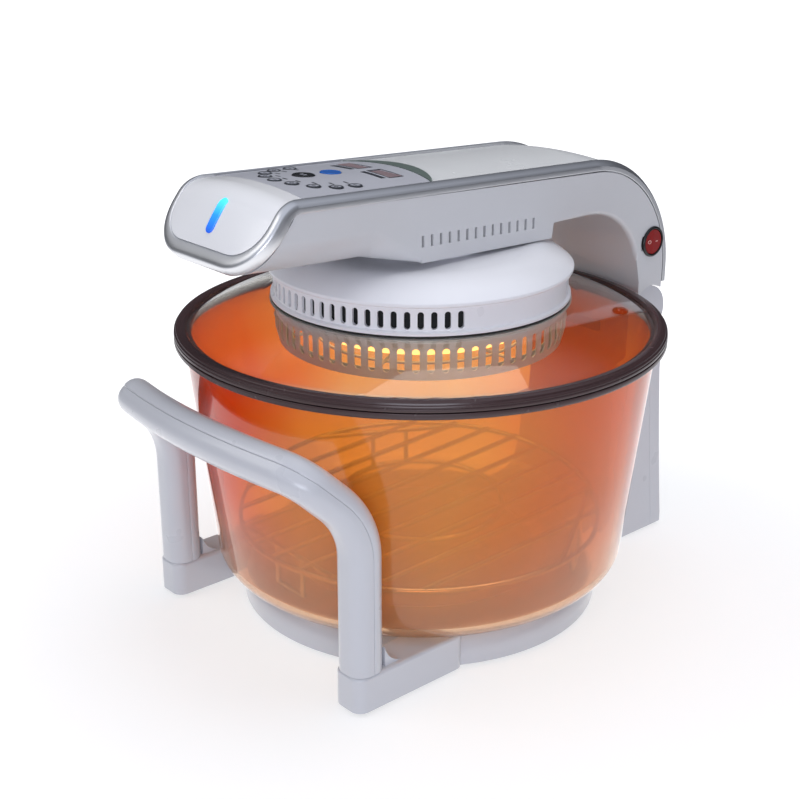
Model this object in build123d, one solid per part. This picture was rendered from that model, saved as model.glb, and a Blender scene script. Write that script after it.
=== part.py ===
from build123d import *
import os
from math import atan, atan2, cos, degrees, radians, sin, sqrt, tan

# Halogen oven with a hinged lid: a glass bowl on a round base, and an arm that carries the
# glass lid, the heater head and the controls, hinged on a column behind the bowl.
# Millimetres. Origin: the bowl's axis on the table. +Z up, front (handle, controls) at -Y.

# ---------------------------------------------------------------- driving dimensions
WALL = 2.6            # moulded walls
GAP = 0.3             # clearance between parts that move or lift off

FOOT_H = 2.6          # rubber feet under the base
BASE_R = 129.5        # drum of the base
BASE_TOP = 27.2
LEG_X = 102.0         # front legs and handle posts
POST_W = 26.0         # across, along X
POST_D = 25.0         # front to back
POST_R = 8.0
POST_Y = -141.5
LEG_TOP = 27.5
LEG_REAR = -62.0
LEG_EDGE_R = 2.4
TONGUE_W = 92.0       # tongue of the base inside the column
TONGUE_TOP = 22.0

HANDLE_KNEE = (LEG_X, POST_Y, 128.7)      # corner where a post leans forward
HANDLE_CORNER = (91.5, -177.5, 165.0)     # corner between post and bar
HANDLE_MIDDLE = (0.0, -196.0, 169.0)      # corner of the bowed bar
KNEE_R = 54.0
CORNER_R = 19.0
BAR_R = 388.0
HANDLE_WALL = 2.8
HANDLE_SEAM = 5.0     # seam behind the section's middle

BOWL_SEAT = 28.0      # underside of the bowl
BOWL_R_FOOT = 147.3
BOWL_R_RIM = 163.6
BOWL_FOOT_Z = 44.0
BOWL_TOP = 196.4
BOWL_T = 4.5
RIM_R = 170.4         # outside of both rim rings
RIM_LOW = 193.3
RIM_PART = 199.3      # parting line between bowl ring and lid ring
RIM_TOP = 206.2

GLASS_T = 3.4         # lid glass
GLASS_EDGE = 201.0
HUB_R = 94.0          # hole in the lid glass
HUB_Z = 220.2         # underside of the glass at the hole

HEAD_R = 105.0        # dome of the heater head
HEAD_TOP = 257.4
NECK_R = 44.0         # round neck between dome and arm
BAND_R = 101.6
BAND_LOW = 224.6
BAND_TOP = 241.2
BAND_SLOT = (4.0, 11.5)
BAND_PITCH = 4.8      # degrees
GUARD_R = 100.5
GUARD_LOW_R = 98.0
GUARD_TOP = 220.0
GUARD_LOW = 192.6
GUARD_SLOT = (4.8, 16.0)
GUARD_SLOTS = 66
TUBE_RING_R = 74.0
TUBE_R = 5.0
TUBE_Z = 206.5
PROBE_PLACE = (-51.2, 35.8)   # thermostat, between fan and lamp

ARM_X = 52.0          # half width of the arm
ARM_SLOPE = 0.047     # the arm's top falls this much per mm towards the back
ARM_FRONT = (-140.0, 315.4)
ARM_BACK_Y = 205.0
ARM_BEND_R = 88.0
ARM_END_Z = 203.2
NOSE_END = (-200.0, 275.6, 22.0)      # underside at the nose: y, z and corner radius
SHOULDER = (-84.0, 269.6, 22.0)       # where the round corners start to fade
BOSS_FRONT = (-46.0, 262.4)   # underside of the arm over the head, in (y, z)
BOSS_CORNER_R = 4.0
BOSS_BACK = (75.0, 258.2)
ARM_SCREW_PLACES = [(28, -24), (-28, -24), (28, 24), (-28, 24)]
TRIM_H = 5.6           # the trim hangs this far below the edge of the top cover
TRIM_RISE = 2.4        # and stands this far above it
TRIM_W = 6.4
CROWN = 3.0           # rise of the top cover in the middle
COVER_T = 2.4

PIVOT_Y = 188.0
PIVOT_Z = 182.5
EAR_R = 19.0
EAR_IN = 22.0
EAR_OUT = 50.0
PIN_R = 4.0
BARREL_R = 18.4
BARREL_X = 21.5
COLUMN_FRONT = 169.5
COLUMN_BACK = 208.0
COLUMN_FOOT_X = 60.0
COLUMN_FOOT_FRONT = 153.0
COLUMN_SPLIT = 196.0
GLAND_Z = 32.0
GLAND_SUNK = 4.1      # the gland sits in a round well, inside the back's outline

SWITCH_Y = 185.5
SWITCH_Z = 237.0
SWITCH_R = 11.5
ROCKER_R = 9.3
ROCKER_TILT = 8.0

BUTTON_R = 4.6
BUTTON_PITCH = 24.0   # degrees between the buttons of the ring
BUTTON_RING_R = 33.5
BUTTON_RING_V = 51.7  # centre of the ring, along the arm from its front
BUTTON_RISE = 1.5
BIG_BUTTON = ("start_button", -4.0, 43.7, 7.4)
LIGHT_BUTTON = ("light_button", -3.0, 64.7, 7.0)
WINDOW_V = 94.7


# ---------------------------------------------------------------- drawing helpers
def outline(start, *steps):
    """Closed face: each step is a point, or a (via, end) pair for an arc."""
    edges = []
    here = start
    for step in steps:
        if isinstance(step[0], tuple):
            edges.append(ThreePointArc(here, step[0], step[1]))
            here = step[1]
        else:
            edges.append(Line(here, step))
            here = step
    if here != start:
        edges.append(Line(here, start))
    return make_face(edges)


def turned(start, *steps):
    """Solid of revolution about the bowl's axis from an outline in (radius, height)."""
    return revolve(Plane.XZ * outline(start, *steps), Axis.Z)


def ring(inner, outer, low, high):
    """Plain ring about the bowl's axis."""
    body = Pos(0, 0, low) * extrude(Circle(outer), high - low)
    if inner > 0:
        body -= Pos(0, 0, low - 1) * extrude(Circle(inner), high - low + 2)
    return body


def slab(face, x_low, x_high):
    """A (y, z) face made solid between two x positions."""
    return extrude(Plane.YZ.offset(x_low) * face, x_high - x_low)


def rod_x(radius, x_low, x_high, y, z):
    """Round bar parallel to X."""
    return slab(Pos(y, z) * Circle(radius), x_low, x_high)


def rod_z(radius, x, y, low, high):
    """Round bar parallel to Z."""
    return Pos(x, y, low) * extrude(Circle(radius), high - low)


def block(x_low, x_high, y_low, y_high, z_low, z_high):
    """Box between its lowest and highest corners."""
    size = (x_high - x_low, y_high - y_low, z_high - z_low)
    middle = ((x_low + x_high) / 2, (y_low + y_high) / 2, (z_low + z_high) / 2)
    return Pos(*middle) * Box(*size)


def both_sides(body):
    """The body and its mirror image across X = 0."""
    return body + mirror(body, Plane.YZ)


def group(pieces):
    """Separate solids kept together in one node."""
    return Compound(children=[solid for piece in pieces for solid in piece.solids()])


def screw(radius, head_radius, length, head_height):
    """Pan-head screw standing on its head, with a cross recess, axis +Z."""
    body = extrude(Circle(head_radius), head_height)
    body += Pos(0, 0, head_height) * extrude(Circle(radius), length)
    slot = Box(head_radius * 1.1, head_radius * 0.28, head_height)
    cross = slot + Rot(0, 0, 90) * slot
    return body - cross


def follow(section, points, radii, x_dir):
    """Carry a section along straight runs joined by round bends, without twist."""
    corners = [Vector(*point) for point in points]
    here = corners[0]
    across = Vector(*x_dir)
    pieces = []
    for number, radius in enumerate(radii, start=1):
        into = (corners[number] - corners[number - 1]).normalized()
        out = (corners[number + 1] - corners[number]).normalized()
        turn = into.get_angle(out)
        bend_start = corners[number] - into * (radius * tan(radians(turn) / 2))
        pieces.append(extrude(Plane(here, across, into) * section, (bend_start - here).length))
        hub = bend_start + (out - into * into.dot(out)).normalized() * radius
        hinge = Axis(hub, into.cross(out).normalized())
        pieces.append(revolve(Plane(bend_start, across, into) * section, hinge, turn))
        across = across.rotate(Axis((0, 0, 0), hinge.direction), turn)
        here = corners[number] + out * (radius * tan(radians(turn) / 2))
    out = (corners[-1] - here).normalized()
    pieces.append(extrude(Plane(here, across, out) * section, (corners[-1] - here).length))
    body = pieces[0]
    for piece in pieces[1:]:
        body += piece
    return body


# ---------------------------------------------------------------- base
def base_form(inset, low, high):
    """Drum, two front legs and the rear tongue, inset by a wall thickness."""
    drum = turned(
        (0, low),
        (BASE_R - inset, low),
        (BASE_R - inset, 10),
        ((BASE_R - 5 - inset, 22 - inset * 0.8), (BASE_R - 22, BASE_TOP - inset)),
        (0, BASE_TOP - inset),
    )
    leg_plan = RectangleRounded(
        POST_W - 2 * inset, LEG_REAR - POST_Y + POST_D / 2 - inset, POST_R - inset
    )
    leg_middle = (LEG_REAR + POST_Y - POST_D / 2 + inset) / 2
    leg = Pos(LEG_X, leg_middle, low) * extrude(leg_plan, LEG_TOP - inset - low)
    if inset == 0:
        leg = fillet(leg.edges().group_by(Axis.Z)[-1], LEG_EDGE_R)
    tongue = block(
        inset - TONGUE_W / 2, TONGUE_W / 2 - inset, 100, COLUMN_SPLIT - 6 - inset, low, TONGUE_TOP - inset
    )
    body = drum + both_sides(leg) + tongue
    if high < BASE_TOP:
        body &= block(-200, 200, -200, 220, low, high)
    return body


def leg_fillet():
    """Concave fillet, in (y, z), where a post meets its leg."""
    back = POST_Y + POST_D / 2 + 0.1
    return outline(
        (back, LEG_TOP - 1),
        (back, LEG_TOP + 13),
        ((back + 4.6, LEG_TOP + 4.6), (back + 13, LEG_TOP)),
        (back + 13, LEG_TOP - 1),
    )


FOOT_PLACES = [(LEG_X, POST_Y), (-LEG_X, POST_Y), (86, 66), (-86, 66), (34, 180), (-34, 180)]


def base_shell():
    shell = base_form(0, FOOT_H, BASE_TOP) - base_form(WALL, FOOT_H - 1, BASE_TOP)
    shell -= ring(84, 96, BASE_TOP - 0.8, BASE_TOP + 1)
    shell += both_sides(slab(leg_fillet(), LEG_X - 9, LEG_X + 9))
    for x in (-LEG_X, LEG_X):
        shell += rod_z(4.5, x, POST_Y, FOOT_H + 2.2, LEG_TOP - 0.5)
        shell -= rod_z(1.6, x, POST_Y, FOOT_H, LEG_TOP + 1)
    for angle in (45, 135, 225, 315):
        x = 60 * cos(radians(angle))
        y = 60 * sin(radians(angle))
        shell += rod_z(4.5, x, y, FOOT_H + 2.2, BASE_TOP - 1)
        shell -= rod_z(1.6, x, y, FOOT_H, BASE_TOP - 4)
    return shell


def base_plate():
    plate = base_form(WALL + 0.2, FOOT_H, FOOT_H + 2.0)
    for angle in (45, 135, 225, 315):
        plate -= rod_z(1.7, 60 * cos(radians(angle)), 60 * sin(radians(angle)), 0, 10)
    for x in (-LEG_X, LEG_X):
        plate -= rod_z(1.7, x, POST_Y, 0, 10)
    vents = [Rot(0, 0, 15 * n) * Pos(30, 0, FOOT_H) * Box(26, 3, 12) for n in range(24) if n % 3]
    return plate - vents


def rubber_feet():
    feet = []
    for x, y in FOOT_PLACES:
        low = Pos(x, y, 0) * extrude(Circle(8.0), FOOT_H)
        feet.append(chamfer(low.edges().sort_by(Axis.Z)[0], 0.8) - rod_z(3.4, x, y, -1, 1.2))
    return group(feet)


def housing_screws():
    screws = []
    for angle in (45, 135, 225, 315):
        place = Pos(60 * cos(radians(angle)), 60 * sin(radians(angle)), FOOT_H - 1.5)
        screws.append(place * screw(1.6, 3.0, 11, 1.5))
    for x, z in ((30, 60), (-30, 60), (30, 130), (-30, 130)):
        screws.append(Pos(x, COLUMN_BACK - 0.3, z) * Rot(90, 0, 0) * screw(1.6, 3.0, 16, 1.4))
    return group(screws)


def bowl_seat_ring():
    return ring(84.2, 95.8, BASE_TOP - 0.8, BOWL_SEAT - GAP)


def cable_gland():
    """Cord inlet low on the back: a flanged bush with a through hole."""
    low = Plane.XZ.offset(-COLUMN_BACK + 4) * Circle(7.4)
    body = extrude(low, -8.0)
    body += extrude(Plane.XZ.offset(-COLUMN_BACK) * Circle(10.0), -2.0)
    body -= extrude(Plane.XZ.offset(-COLUMN_BACK + 6) * Circle(3.6), -14)
    return Pos(0, -GLAND_SUNK, GLAND_Z) * body


# ---------------------------------------------------------------- handle
def handle_section(inset):
    return RectangleRounded(POST_W - 2 * inset, POST_D - 2 * inset, POST_R - inset)


def handle_shell(seam_low, seam_high):
    """One half shell of the bowed carrying handle, between two seam depths."""
    band = Pos(0, (seam_low + seam_high) / 2) * Rectangle(2 * POST_W, seam_high - seam_low)
    section = (handle_section(0) - handle_section(HANDLE_WALL)) & band
    right = [
        (LEG_X, POST_Y, LEG_TOP),
        HANDLE_KNEE,
        HANDLE_CORNER,
        HANDLE_MIDDLE,
        (-HANDLE_CORNER[0], HANDLE_CORNER[1], HANDLE_CORNER[2]),
    ]
    body = follow(section, right, (KNEE_R, CORNER_R, BAR_R), (1, 0, 0))
    half = body & block(0, 200, -260, 0, 0, 260)
    return half + mirror(half, Plane.YZ)


# ---------------------------------------------------------------- rear column
def column_form(inset):
    """Flared column: its front view met by its side view."""
    half = EAR_OUT - inset
    foot = COLUMN_FOOT_X - inset
    front_view = outline(
        (-foot, FOOT_H),
        (foot, FOOT_H),
        (foot, 10),
        ((half + 5.2, 60), (half, 130)),
        (half, PIVOT_Z + EAR_R + 2),
        (-half, PIVOT_Z + EAR_R + 2),
        (-half, 130),
        ((-half - 5.2, 60), (-foot, 10)),
    )
    front = COLUMN_FRONT + inset
    back = COLUMN_BACK - inset
    top_r = EAR_R - inset
    low_angle = radians(-62)
    shoulder = (PIVOT_Y + top_r * cos(low_angle), PIVOT_Z + top_r * sin(low_angle))
    side_view = outline(
        (COLUMN_FOOT_FRONT + inset, FOOT_H),
        (back, FOOT_H),
        (back, 146),
        shoulder,
        ((PIVOT_Y + top_r, PIVOT_Z), (PIVOT_Y, PIVOT_Z + top_r)),
        ((PIVOT_Y - top_r * 0.7071, PIVOT_Z + top_r * 0.7071), (PIVOT_Y - top_r, PIVOT_Z)),
        (front, PIVOT_Z - 2),
        (front, 52),
        ((COLUMN_FRONT - 4 + inset, 26), (COLUMN_FOOT_FRONT + inset, 10)),
    )
    wide = extrude(Plane.XZ.offset(-COLUMN_BACK - 10) * front_view, 80)
    return wide & slab(side_view, -COLUMN_FOOT_X, COLUMN_FOOT_X)


def column_slot():
    """Space between the ears for the lid's barrel and its swing."""
    slot = block(-EAR_IN, EAR_IN, 140, 260, PIVOT_Z - EAR_R - 1.4, 260)
    return slot


def column_whole():
    body = column_form(0)
    cavity = column_form(WALL) & block(-100, 100, 140, 260, FOOT_H + 2.4, 260)
    floor = block(-EAR_IN - WALL, EAR_IN + WALL, 140, 260, PIVOT_Z - EAR_R - 1.4 - WALL, 260)
    cavity -= floor
    for side in (-1, 1):
        x_low = min(side * EAR_IN, side * EAR_OUT)
        x_high = max(side * EAR_IN, side * EAR_OUT)
        cavity -= rod_x(PIN_R + 4, x_low, x_high, PIVOT_Y, PIVOT_Z)
    body -= column_slot()
    body -= cavity
    body -= block(-TONGUE_W / 2 - 0.2, TONGUE_W / 2 + 0.2, 140, COLUMN_SPLIT - 6, 0, TONGUE_TOP + 0.2)
    body -= rod_x(PIN_R, -EAR_OUT - 1, EAR_OUT - 4, PIVOT_Y, PIVOT_Z)
    return body


def column_parts():
    whole = column_whole()
    front = whole & block(-100, 100, 140, COLUMN_SPLIT, 0, 260)
    back_zone = block(-100, 100, COLUMN_SPLIT + 0.2, 260, 0, 144)
    back = whole & back_zone
    keep = whole & block(-100, 100, COLUMN_SPLIT - 0.01, 260, 144.2, 260)
    front += keep
    back += block(-EAR_OUT, EAR_OUT, COLUMN_SPLIT + 0.2, COLUMN_BACK - WALL, 141.4, 144)
    mouth = Pos(0, COLUMN_BACK, GLAND_Z) * Rot(90, 0, 0)
    back += mouth * extrude(Circle(13.4), GLAND_SUNK + 2.4)
    back -= mouth * extrude(Circle(11.0), GLAND_SUNK)
    back -= mouth * extrude(Circle(7.6), 20)
    for x, z in ((30, 60), (-30, 60), (30, 130), (-30, 130)):
        post = Pos(x, COLUMN_FRONT + WALL - 0.5, z) * Rot(-90, 0, 0) * extrude(Circle(4), 22)
        front += post
        hole = Pos(x, COLUMN_BACK + 2, z) * Rot(90, 0, 0) * extrude(Circle(1.7), 34)
        front -= hole
        back -= hole
        back -= Pos(x, COLUMN_BACK + 0.1, z) * Rot(90, 0, 0) * extrude(Circle(3.2), 1.8)
    return front, back


def terminal_block():
    block_body = block(-18, 18, 174, 186, 40, 52)
    return block_body - [rod_z(2.4, x, 180, 46, 60) for x in (-12, 0, 12)]


def safety_switch():
    """Microswitch in the column that the lid's barrel works when it is shut."""
    body = block(-10, 10, 178, 188, 146, 156)
    return body + rod_z(1.5, 0, 183, 156, 157.2)


def hinge_pin():
    body = rod_x(PIN_R - 0.06, -EAR_OUT + 0.5, EAR_OUT - 4.2, PIVOT_Y, PIVOT_Z)
    return chamfer(body.edges().group_by(Axis.X)[0], 0.6)


def lid_springs():
    """Torsion springs round the pin, in the barrel's end pockets."""
    coils = []
    for side in (-1, 1):
        for turn in range(4):
            x = side * (BARREL_X - 1.6 - 1.5 * turn)
            coil = Pos(x, PIVOT_Y, PIVOT_Z) * Rot(0, 90, 0) * Torus(6.6, 0.7)
            coils.append(coil)
    return group(coils)


# ---------------------------------------------------------------- bowl and rack
def glass_bowl():
    slope = (BOWL_R_RIM - BOWL_R_FOOT) / (BOWL_TOP - BOWL_FOOT_Z)
    inner_rim = BOWL_R_RIM - BOWL_T
    inner_foot = BOWL_R_FOOT - BOWL_T
    return turned(
        (0, BOWL_SEAT),
        (BOWL_R_FOOT - 16, BOWL_SEAT),
        ((BOWL_R_FOOT - 4.4, BOWL_SEAT + 4.6), (BOWL_R_FOOT, BOWL_FOOT_Z)),
        (BOWL_R_RIM, BOWL_TOP),
        (inner_rim, BOWL_TOP),
        (inner_foot - slope * 2, BOWL_FOOT_Z + 2),
        ((inner_foot - 4.6, BOWL_SEAT + BOWL_T + 4.2), (inner_foot - 15, BOWL_SEAT + BOWL_T)),
        (0, BOWL_SEAT + BOWL_T),
    )


def bowl_rim_ring():
    top = RIM_PART - 0.15
    return turned(
        (BOWL_R_RIM + 0.1, RIM_LOW),
        (BOWL_R_RIM + 3.0, RIM_LOW + 0.5),
        ((RIM_R - 1.4, RIM_LOW + 1.7), (RIM_R, RIM_LOW + 3.6)),
        (RIM_R, top - 0.8),
        (RIM_R - 0.8, top),
        (BOWL_R_RIM - BOWL_T - 1.2, top),
        (BOWL_R_RIM - BOWL_T - 1.2, BOWL_TOP + 0.1),
        (BOWL_R_RIM + 0.1, BOWL_TOP + 0.1),
    )


RACK_Z = 62.0
RACK_R = 132.0
WIRE_R = 1.8


def wire_rack():
    """Low round rack: two rings, cross wires and three bent feet."""
    rack = Pos(0, 0, RACK_Z) * Torus(RACK_R, WIRE_R)
    rack += Pos(0, 0, RACK_Z) * Torus(62, WIRE_R)
    for x in (-100, -75, -50, -25, 0, 25, 50, 75, 100):
        reach = sqrt(RACK_R**2 - x**2)
        rack += Pos(x, -reach, RACK_Z + 1.2) * Rot(-90, 0, 0) * extrude(Circle(WIRE_R), 2 * reach)
    low = BOWL_SEAT + BOWL_T + GAP + WIRE_R
    for angle in (30, 150, 270):
        foot = Pos(118, -14, low) * extrude(Circle(WIRE_R), RACK_Z - low)
        foot += Pos(118, 14, low) * extrude(Circle(WIRE_R), RACK_Z - low)
        foot += Pos(118, -14, low) * Rot(-90, 0, 0) * extrude(Circle(WIRE_R), 28)
        foot += Pos(118, -14, low) * Sphere(WIRE_R)
        foot += Pos(118, 14, low) * Sphere(WIRE_R)
        reach = sqrt(RACK_R**2 - 118**2)
        foot += Pos(118, -reach, RACK_Z) * Rot(-90, 0, 0) * extrude(Circle(WIRE_R), 2 * reach)
        rack += Rot(0, 0, angle) * foot
    return rack


# ---------------------------------------------------------------- lid glass and heater head
def lid_glass():
    edge_r = RIM_R - 4.2
    low = GLASS_EDGE
    return turned(
        (edge_r, low),
        (edge_r, low + GLASS_T),
        (160.5, low + GLASS_T),
        ((136, 215.4), (107, HUB_Z + GLASS_T)),
        (HUB_R, HUB_Z + GLASS_T),
        (HUB_R, HUB_Z),
        (106.5, HUB_Z),
        ((135, 212.0), (159.5, low)),
    )


def lid_ring():
    slot_r = RIM_R - 4.0
    low = RIM_PART + 0.15
    inner = BOWL_R_RIM - BOWL_T - 1.2
    return turned(
        (inner, low),
        (RIM_R - 0.8, low),
        (RIM_R, low + 0.8),
        (RIM_R, low + 3.2),
        (RIM_R - 0.9, low + 3.8),
        (RIM_R - 0.9, low + 4.6),
        ((RIM_R - 1.6, RIM_TOP - 0.6), (RIM_R - 3.2, RIM_TOP)),
        (163.2, RIM_TOP),
        (161.8, GLASS_EDGE + GLASS_T + 0.1),
        (slot_r, GLASS_EDGE + GLASS_T + 0.1),
        (slot_r, GLASS_EDGE - 0.1),
        (inner, GLASS_EDGE - 0.3),
    )


def lid_gasket():
    return ring(HUB_R + 0.5, 103.4, HUB_Z + GLASS_T, BAND_LOW)


def head_vent_band():
    """Slotted skirt of the head, with a lip at its foot and an inner screw flange."""
    inner = BAND_R - 2.2
    band = turned(
        (inner, BAND_LOW),
        (103.6, BAND_LOW),
        (103.6, BAND_LOW + 1.8),
        (BAND_R + 0.2, BAND_LOW + 2.8),
        (BAND_R, BAND_TOP),
        (inner, BAND_TOP),
    )
    band += ring(80, inner + 0.5, BAND_LOW, BAND_LOW + 2.2)
    width, height = BAND_SLOT
    slot = RectangleRounded(height, width, width / 2 - 0.01)
    slot = Pos(BAND_R - 5, 0, BAND_LOW + 9.6) * Rot(0, 90, 0) * extrude(slot, 10)
    cuts = [Rot(0, 0, -90 + BAND_PITCH * n) * slot for n in range(-13, 14)]
    cuts += [Rot(0, 0, 90 + BAND_PITCH * n) * slot for n in range(-12, 13)]
    band -= cuts
    band -= [Rot(0, 0, a) * rod_z(2.2, 87, 0, BAND_LOW - 1, BAND_LOW + 4) for a in (30, 120, 210, 300)]
    return band


def boss_z(y):
    """Height of the arm's underside over the head."""
    front, back = BOSS_FRONT, BOSS_BACK
    return front[1] + (back[1] - front[1]) * (y - front[0]) / (back[0] - front[0])


def head_dome():
    outer = turned(
        (0, HEAD_TOP),
        (70, HEAD_TOP),
        ((95.5, HEAD_TOP - 4.6), (HEAD_R, BAND_TOP + 4.6)),
        (HEAD_R, BAND_TOP + 2.6),
        (HEAD_R - 1.2, BAND_TOP + 1.8),
        (HEAD_R - 1.2, BAND_TOP + 0.2),
        (0, BAND_TOP + 0.2),
    )
    cavity = turned(
        (0, HEAD_TOP - WALL),
        (69, HEAD_TOP - WALL),
        ((93, HEAD_TOP - 7.4), (HEAD_R - 3.4, BAND_TOP + 3.4)),
        (HEAD_R - 3.4, BAND_TOP - 1),
        (0, BAND_TOP - 1),
    )
    neck = rod_z(NECK_R, 0, 0, HEAD_TOP - 1, HEAD_TOP + 8)
    neck &= slab(outline((-60, 250), (60, 250), (60, boss_z(60)), (-60, boss_z(-60))), -60, 60)
    dome = outer - cavity + neck
    dome -= rod_z(9, 0, 0, HEAD_TOP - 5, HEAD_TOP + 9)
    return dome - [rod_z(1.7, x, y, HEAD_TOP - 5, HEAD_TOP + 9) for x, y in ARM_SCREW_PLACES]


def heater_guard():
    """Pressed steel guard: flange, slotted wall drawn in at its foot, and a bottom lip."""
    wall = turned(
        (HUB_R + 0.2, GUARD_TOP),
        (104, GUARD_TOP),
        (104, GUARD_TOP - 1),
        (GUARD_R, GUARD_TOP - 1),
        (GUARD_R, GUARD_LOW + 9),
        (GUARD_LOW_R, GUARD_LOW),
        (88, GUARD_LOW),
        (88, GUARD_LOW + 1),
        (GUARD_LOW_R - 0.9, GUARD_LOW + 1),
        (GUARD_R - 1, GUARD_LOW + 9.2),
        (GUARD_R - 1, GUARD_TOP - 1),
        (HUB_R + 0.2, GUARD_TOP - 1),
    )
    width, height = GUARD_SLOT
    slot = RectangleRounded(height, width, width / 2 - 0.01)
    slot = Pos(GUARD_R - 6, 0, GUARD_LOW + 13) * Rot(0, 90, 0) * extrude(slot, 10)
    return wall - [Rot(0, 0, 360 / GUARD_SLOTS * n) * slot for n in range(GUARD_SLOTS)]


def guard_grille():
    """Wire grille across the bottom of the guard."""
    z = GUARD_LOW + 2.6
    grille = Pos(0, 0, z) * Torus(90, 1.3)
    for radius in (18, 36, 54, 72):
        grille += Pos(0, 0, z) * Torus(radius, 1.0)
    for angle in (0, 60, 120):
        spoke = Pos(-90, 0, z + 0.9) * Rot(0, 90, 0) * extrude(Circle(1.1), 180)
        grille += Rot(0, 0, angle) * spoke
    return grille


def reflector_plate():
    plate = ring(5, 99.0, GUARD_TOP - 2.1, GUARD_TOP - 1.1)
    holes = [Rot(0, 0, a) * rod_z(2.2, 87, 0, 200, 230) for a in (30, 120, 210, 300)]
    slots = [Rot(0, 0, 30 * n) * Pos(22, 0, GUARD_TOP - 1.6) * Box(18, 3.5, 6) for n in range(12)]
    plate -= holes
    plate -= slots
    return plate - rod_z(4.2, *PROBE_PLACE, 200, 230)


def halogen_tube():
    section = Pos(TUBE_RING_R, TUBE_Z) * Circle(TUBE_R)
    arc = revolve(Plane.XZ * section, Axis.Z, 296)
    return Rot(0, 0, 122) * arc


def tube_holders():
    """Ceramic end caps of the lamp and the steel clip opposite them."""
    pieces = []
    for angle in (118.0, 62.0):
        cap = Pos(TUBE_RING_R, 0, TUBE_Z) * Box(14, 8, 14)
        cap += Pos(TUBE_RING_R, 0, (TUBE_Z + GUARD_TOP) / 2 + 1.2) * Box(8, 6, GUARD_TOP - TUBE_Z - 6.6)
        cap &= block(0, 200, -50, 50, 150, GUARD_TOP - 2.1)
        pieces.append(Rot(0, 0, angle) * cap)
    clip = Pos(TUBE_RING_R, 0, TUBE_Z) * Rot(90, 0, 0) * extrude(Circle(TUBE_R + 1.2) - Circle(TUBE_R + 0.2), 3, both=True)
    clip += block(TUBE_RING_R - 3, TUBE_RING_R + 3, -3, 3, TUBE_Z + TUBE_R + 0.6, GUARD_TOP - 2.1)
    pieces.append(Rot(0, 0, -90) * clip)
    return group(pieces)


def lid_screws():
    screws = []
    for angle in (30, 120, 210, 300):
        place = Rot(0, 0, angle) * Pos(87, 0, GUARD_TOP - 4.1)
        screws.append(place * screw(1.9, 3.6, 14, 2.0))
    for x, y in ARM_SCREW_PLACES:
        screws.append(Pos(x, y, HEAD_TOP - 4.6) * screw(1.6, 3.2, 12, 2.0))
    return group(screws)


def fan_motor():
    body = rod_z(26, 0, 0, 238, 252)
    body += rod_z(9, 0, 0, 252, 254)
    for angle in (0, 120, 240):
        body += Rot(0, 0, angle) * block(0, 40, -5, 5, 250, HEAD_TOP - WALL)
    return body - rod_z(3.05, 0, 0, 230, 260)


def motor_shaft():
    return rod_z(3.0, 0, 0, 200.5, 253)


def fan(hub_r, tip_r, low, high, blades, lean):
    body = rod_z(hub_r, 0, 0, low, high)
    middle = (low + high) / 2
    length = tip_r - hub_r + 2
    for number in range(blades):
        blade = Pos(hub_r - 2 + length / 2, 0, middle) * Rot(lean, 0, 0) * Box(length, high - low + 4, 1.2)
        blade &= block(0, tip_r, -30, 30, low, high)
        body += Rot(0, 0, 360 / blades * number) * blade
    return body - rod_z(3.0, 0, 0, low - 1, high + 1)


def cooling_fan():
    return fan(9, 56, 228.5, 236.0, 9, 30)


def convection_fan():
    return fan(10, 56, 202.0, 212.5, 6, 38)


def thermostat_probe():
    body = rod_z(4.2, *PROBE_PLACE, 206, 228)
    return body + rod_z(8, *PROBE_PLACE, GUARD_TOP - 1.1, GUARD_TOP + 1.4)


def thermal_fuse():
    body = Pos(34, -40, GUARD_TOP + 2.4) * Rot(0, 90, 0) * extrude(Circle(2.6), 16)
    return body + block(32, 52, -44, -36, GUARD_TOP - 1.1, GUARD_TOP + 0.4)


# ---------------------------------------------------------------- arm
CORNER_Z = ARM_FRONT[1] - ARM_SLOPE * (ARM_BACK_Y - ARM_FRONT[0])
TOP_TILT = degrees(atan(ARM_SLOPE))
CROWN_R = (ARM_X - TRIM_W) ** 2 / (2 * CROWN) + CROWN / 2
FACE_TILT = radians(51.0)
FACE_MIDDLE = (0.0, -165.6, 299.2)
NOSE_DEPTH = 10.0

# the arm's top, seen as a tilted table: x across, v along the arm to the back, w up
TOP = Plane((0, *ARM_FRONT), x_dir=(1, 0, 0), z_dir=(0, ARM_SLOPE, 1)).location


def crown_height(x):
    return CROWN - x**2 / (2 * CROWN_R)


def top_line(inset):
    """The arm's top edge in (y, z), moved inwards."""
    low = inset / cos(radians(TOP_TILT))
    corner_y = ARM_BACK_Y - inset
    corner_z = ARM_FRONT[1] - low - ARM_SLOPE * (corner_y - ARM_FRONT[0])
    return (ARM_FRONT[1] - low, corner_y, corner_z, ARM_BEND_R - inset)


def top_path(inset, front_y):
    """Straight run, round bend and drop at the back, as a wire in the plane X = 0."""
    front_z, corner_y, corner_z, radius = top_line(inset)
    start_z = front_z - ARM_SLOPE * (front_y - ARM_FRONT[0])
    points = [(front_y, start_z), (corner_y, corner_z), (corner_y, ARM_END_Z)]
    return Plane.YZ * FilletPolyline(*points, radius=radius)


def under_line(inset):
    """The arm's underside from the nose to the hinge as outline steps in (y, z)."""
    reach = EAR_R + 1.1
    front = RIM_R + 2.6
    front_z = PIVOT_Z + sqrt(reach**2 - (PIVOT_Y - front) ** 2)
    steps = [
        (BOSS_FRONT[0] + inset, BOSS_FRONT[1] + inset),
        (BOSS_BACK[0] - inset, BOSS_BACK[1] + inset),
        (77 - inset, 268.8 + inset),
        (112, 267.2 + inset),
        ((150.5 + inset * 0.7, 254.6 + inset * 0.7), (169 + inset, 225)),
        (front + inset - 0.2, RIM_TOP + 1.3),
        (front + inset, front_z),
    ]
    return steps, reach


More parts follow.
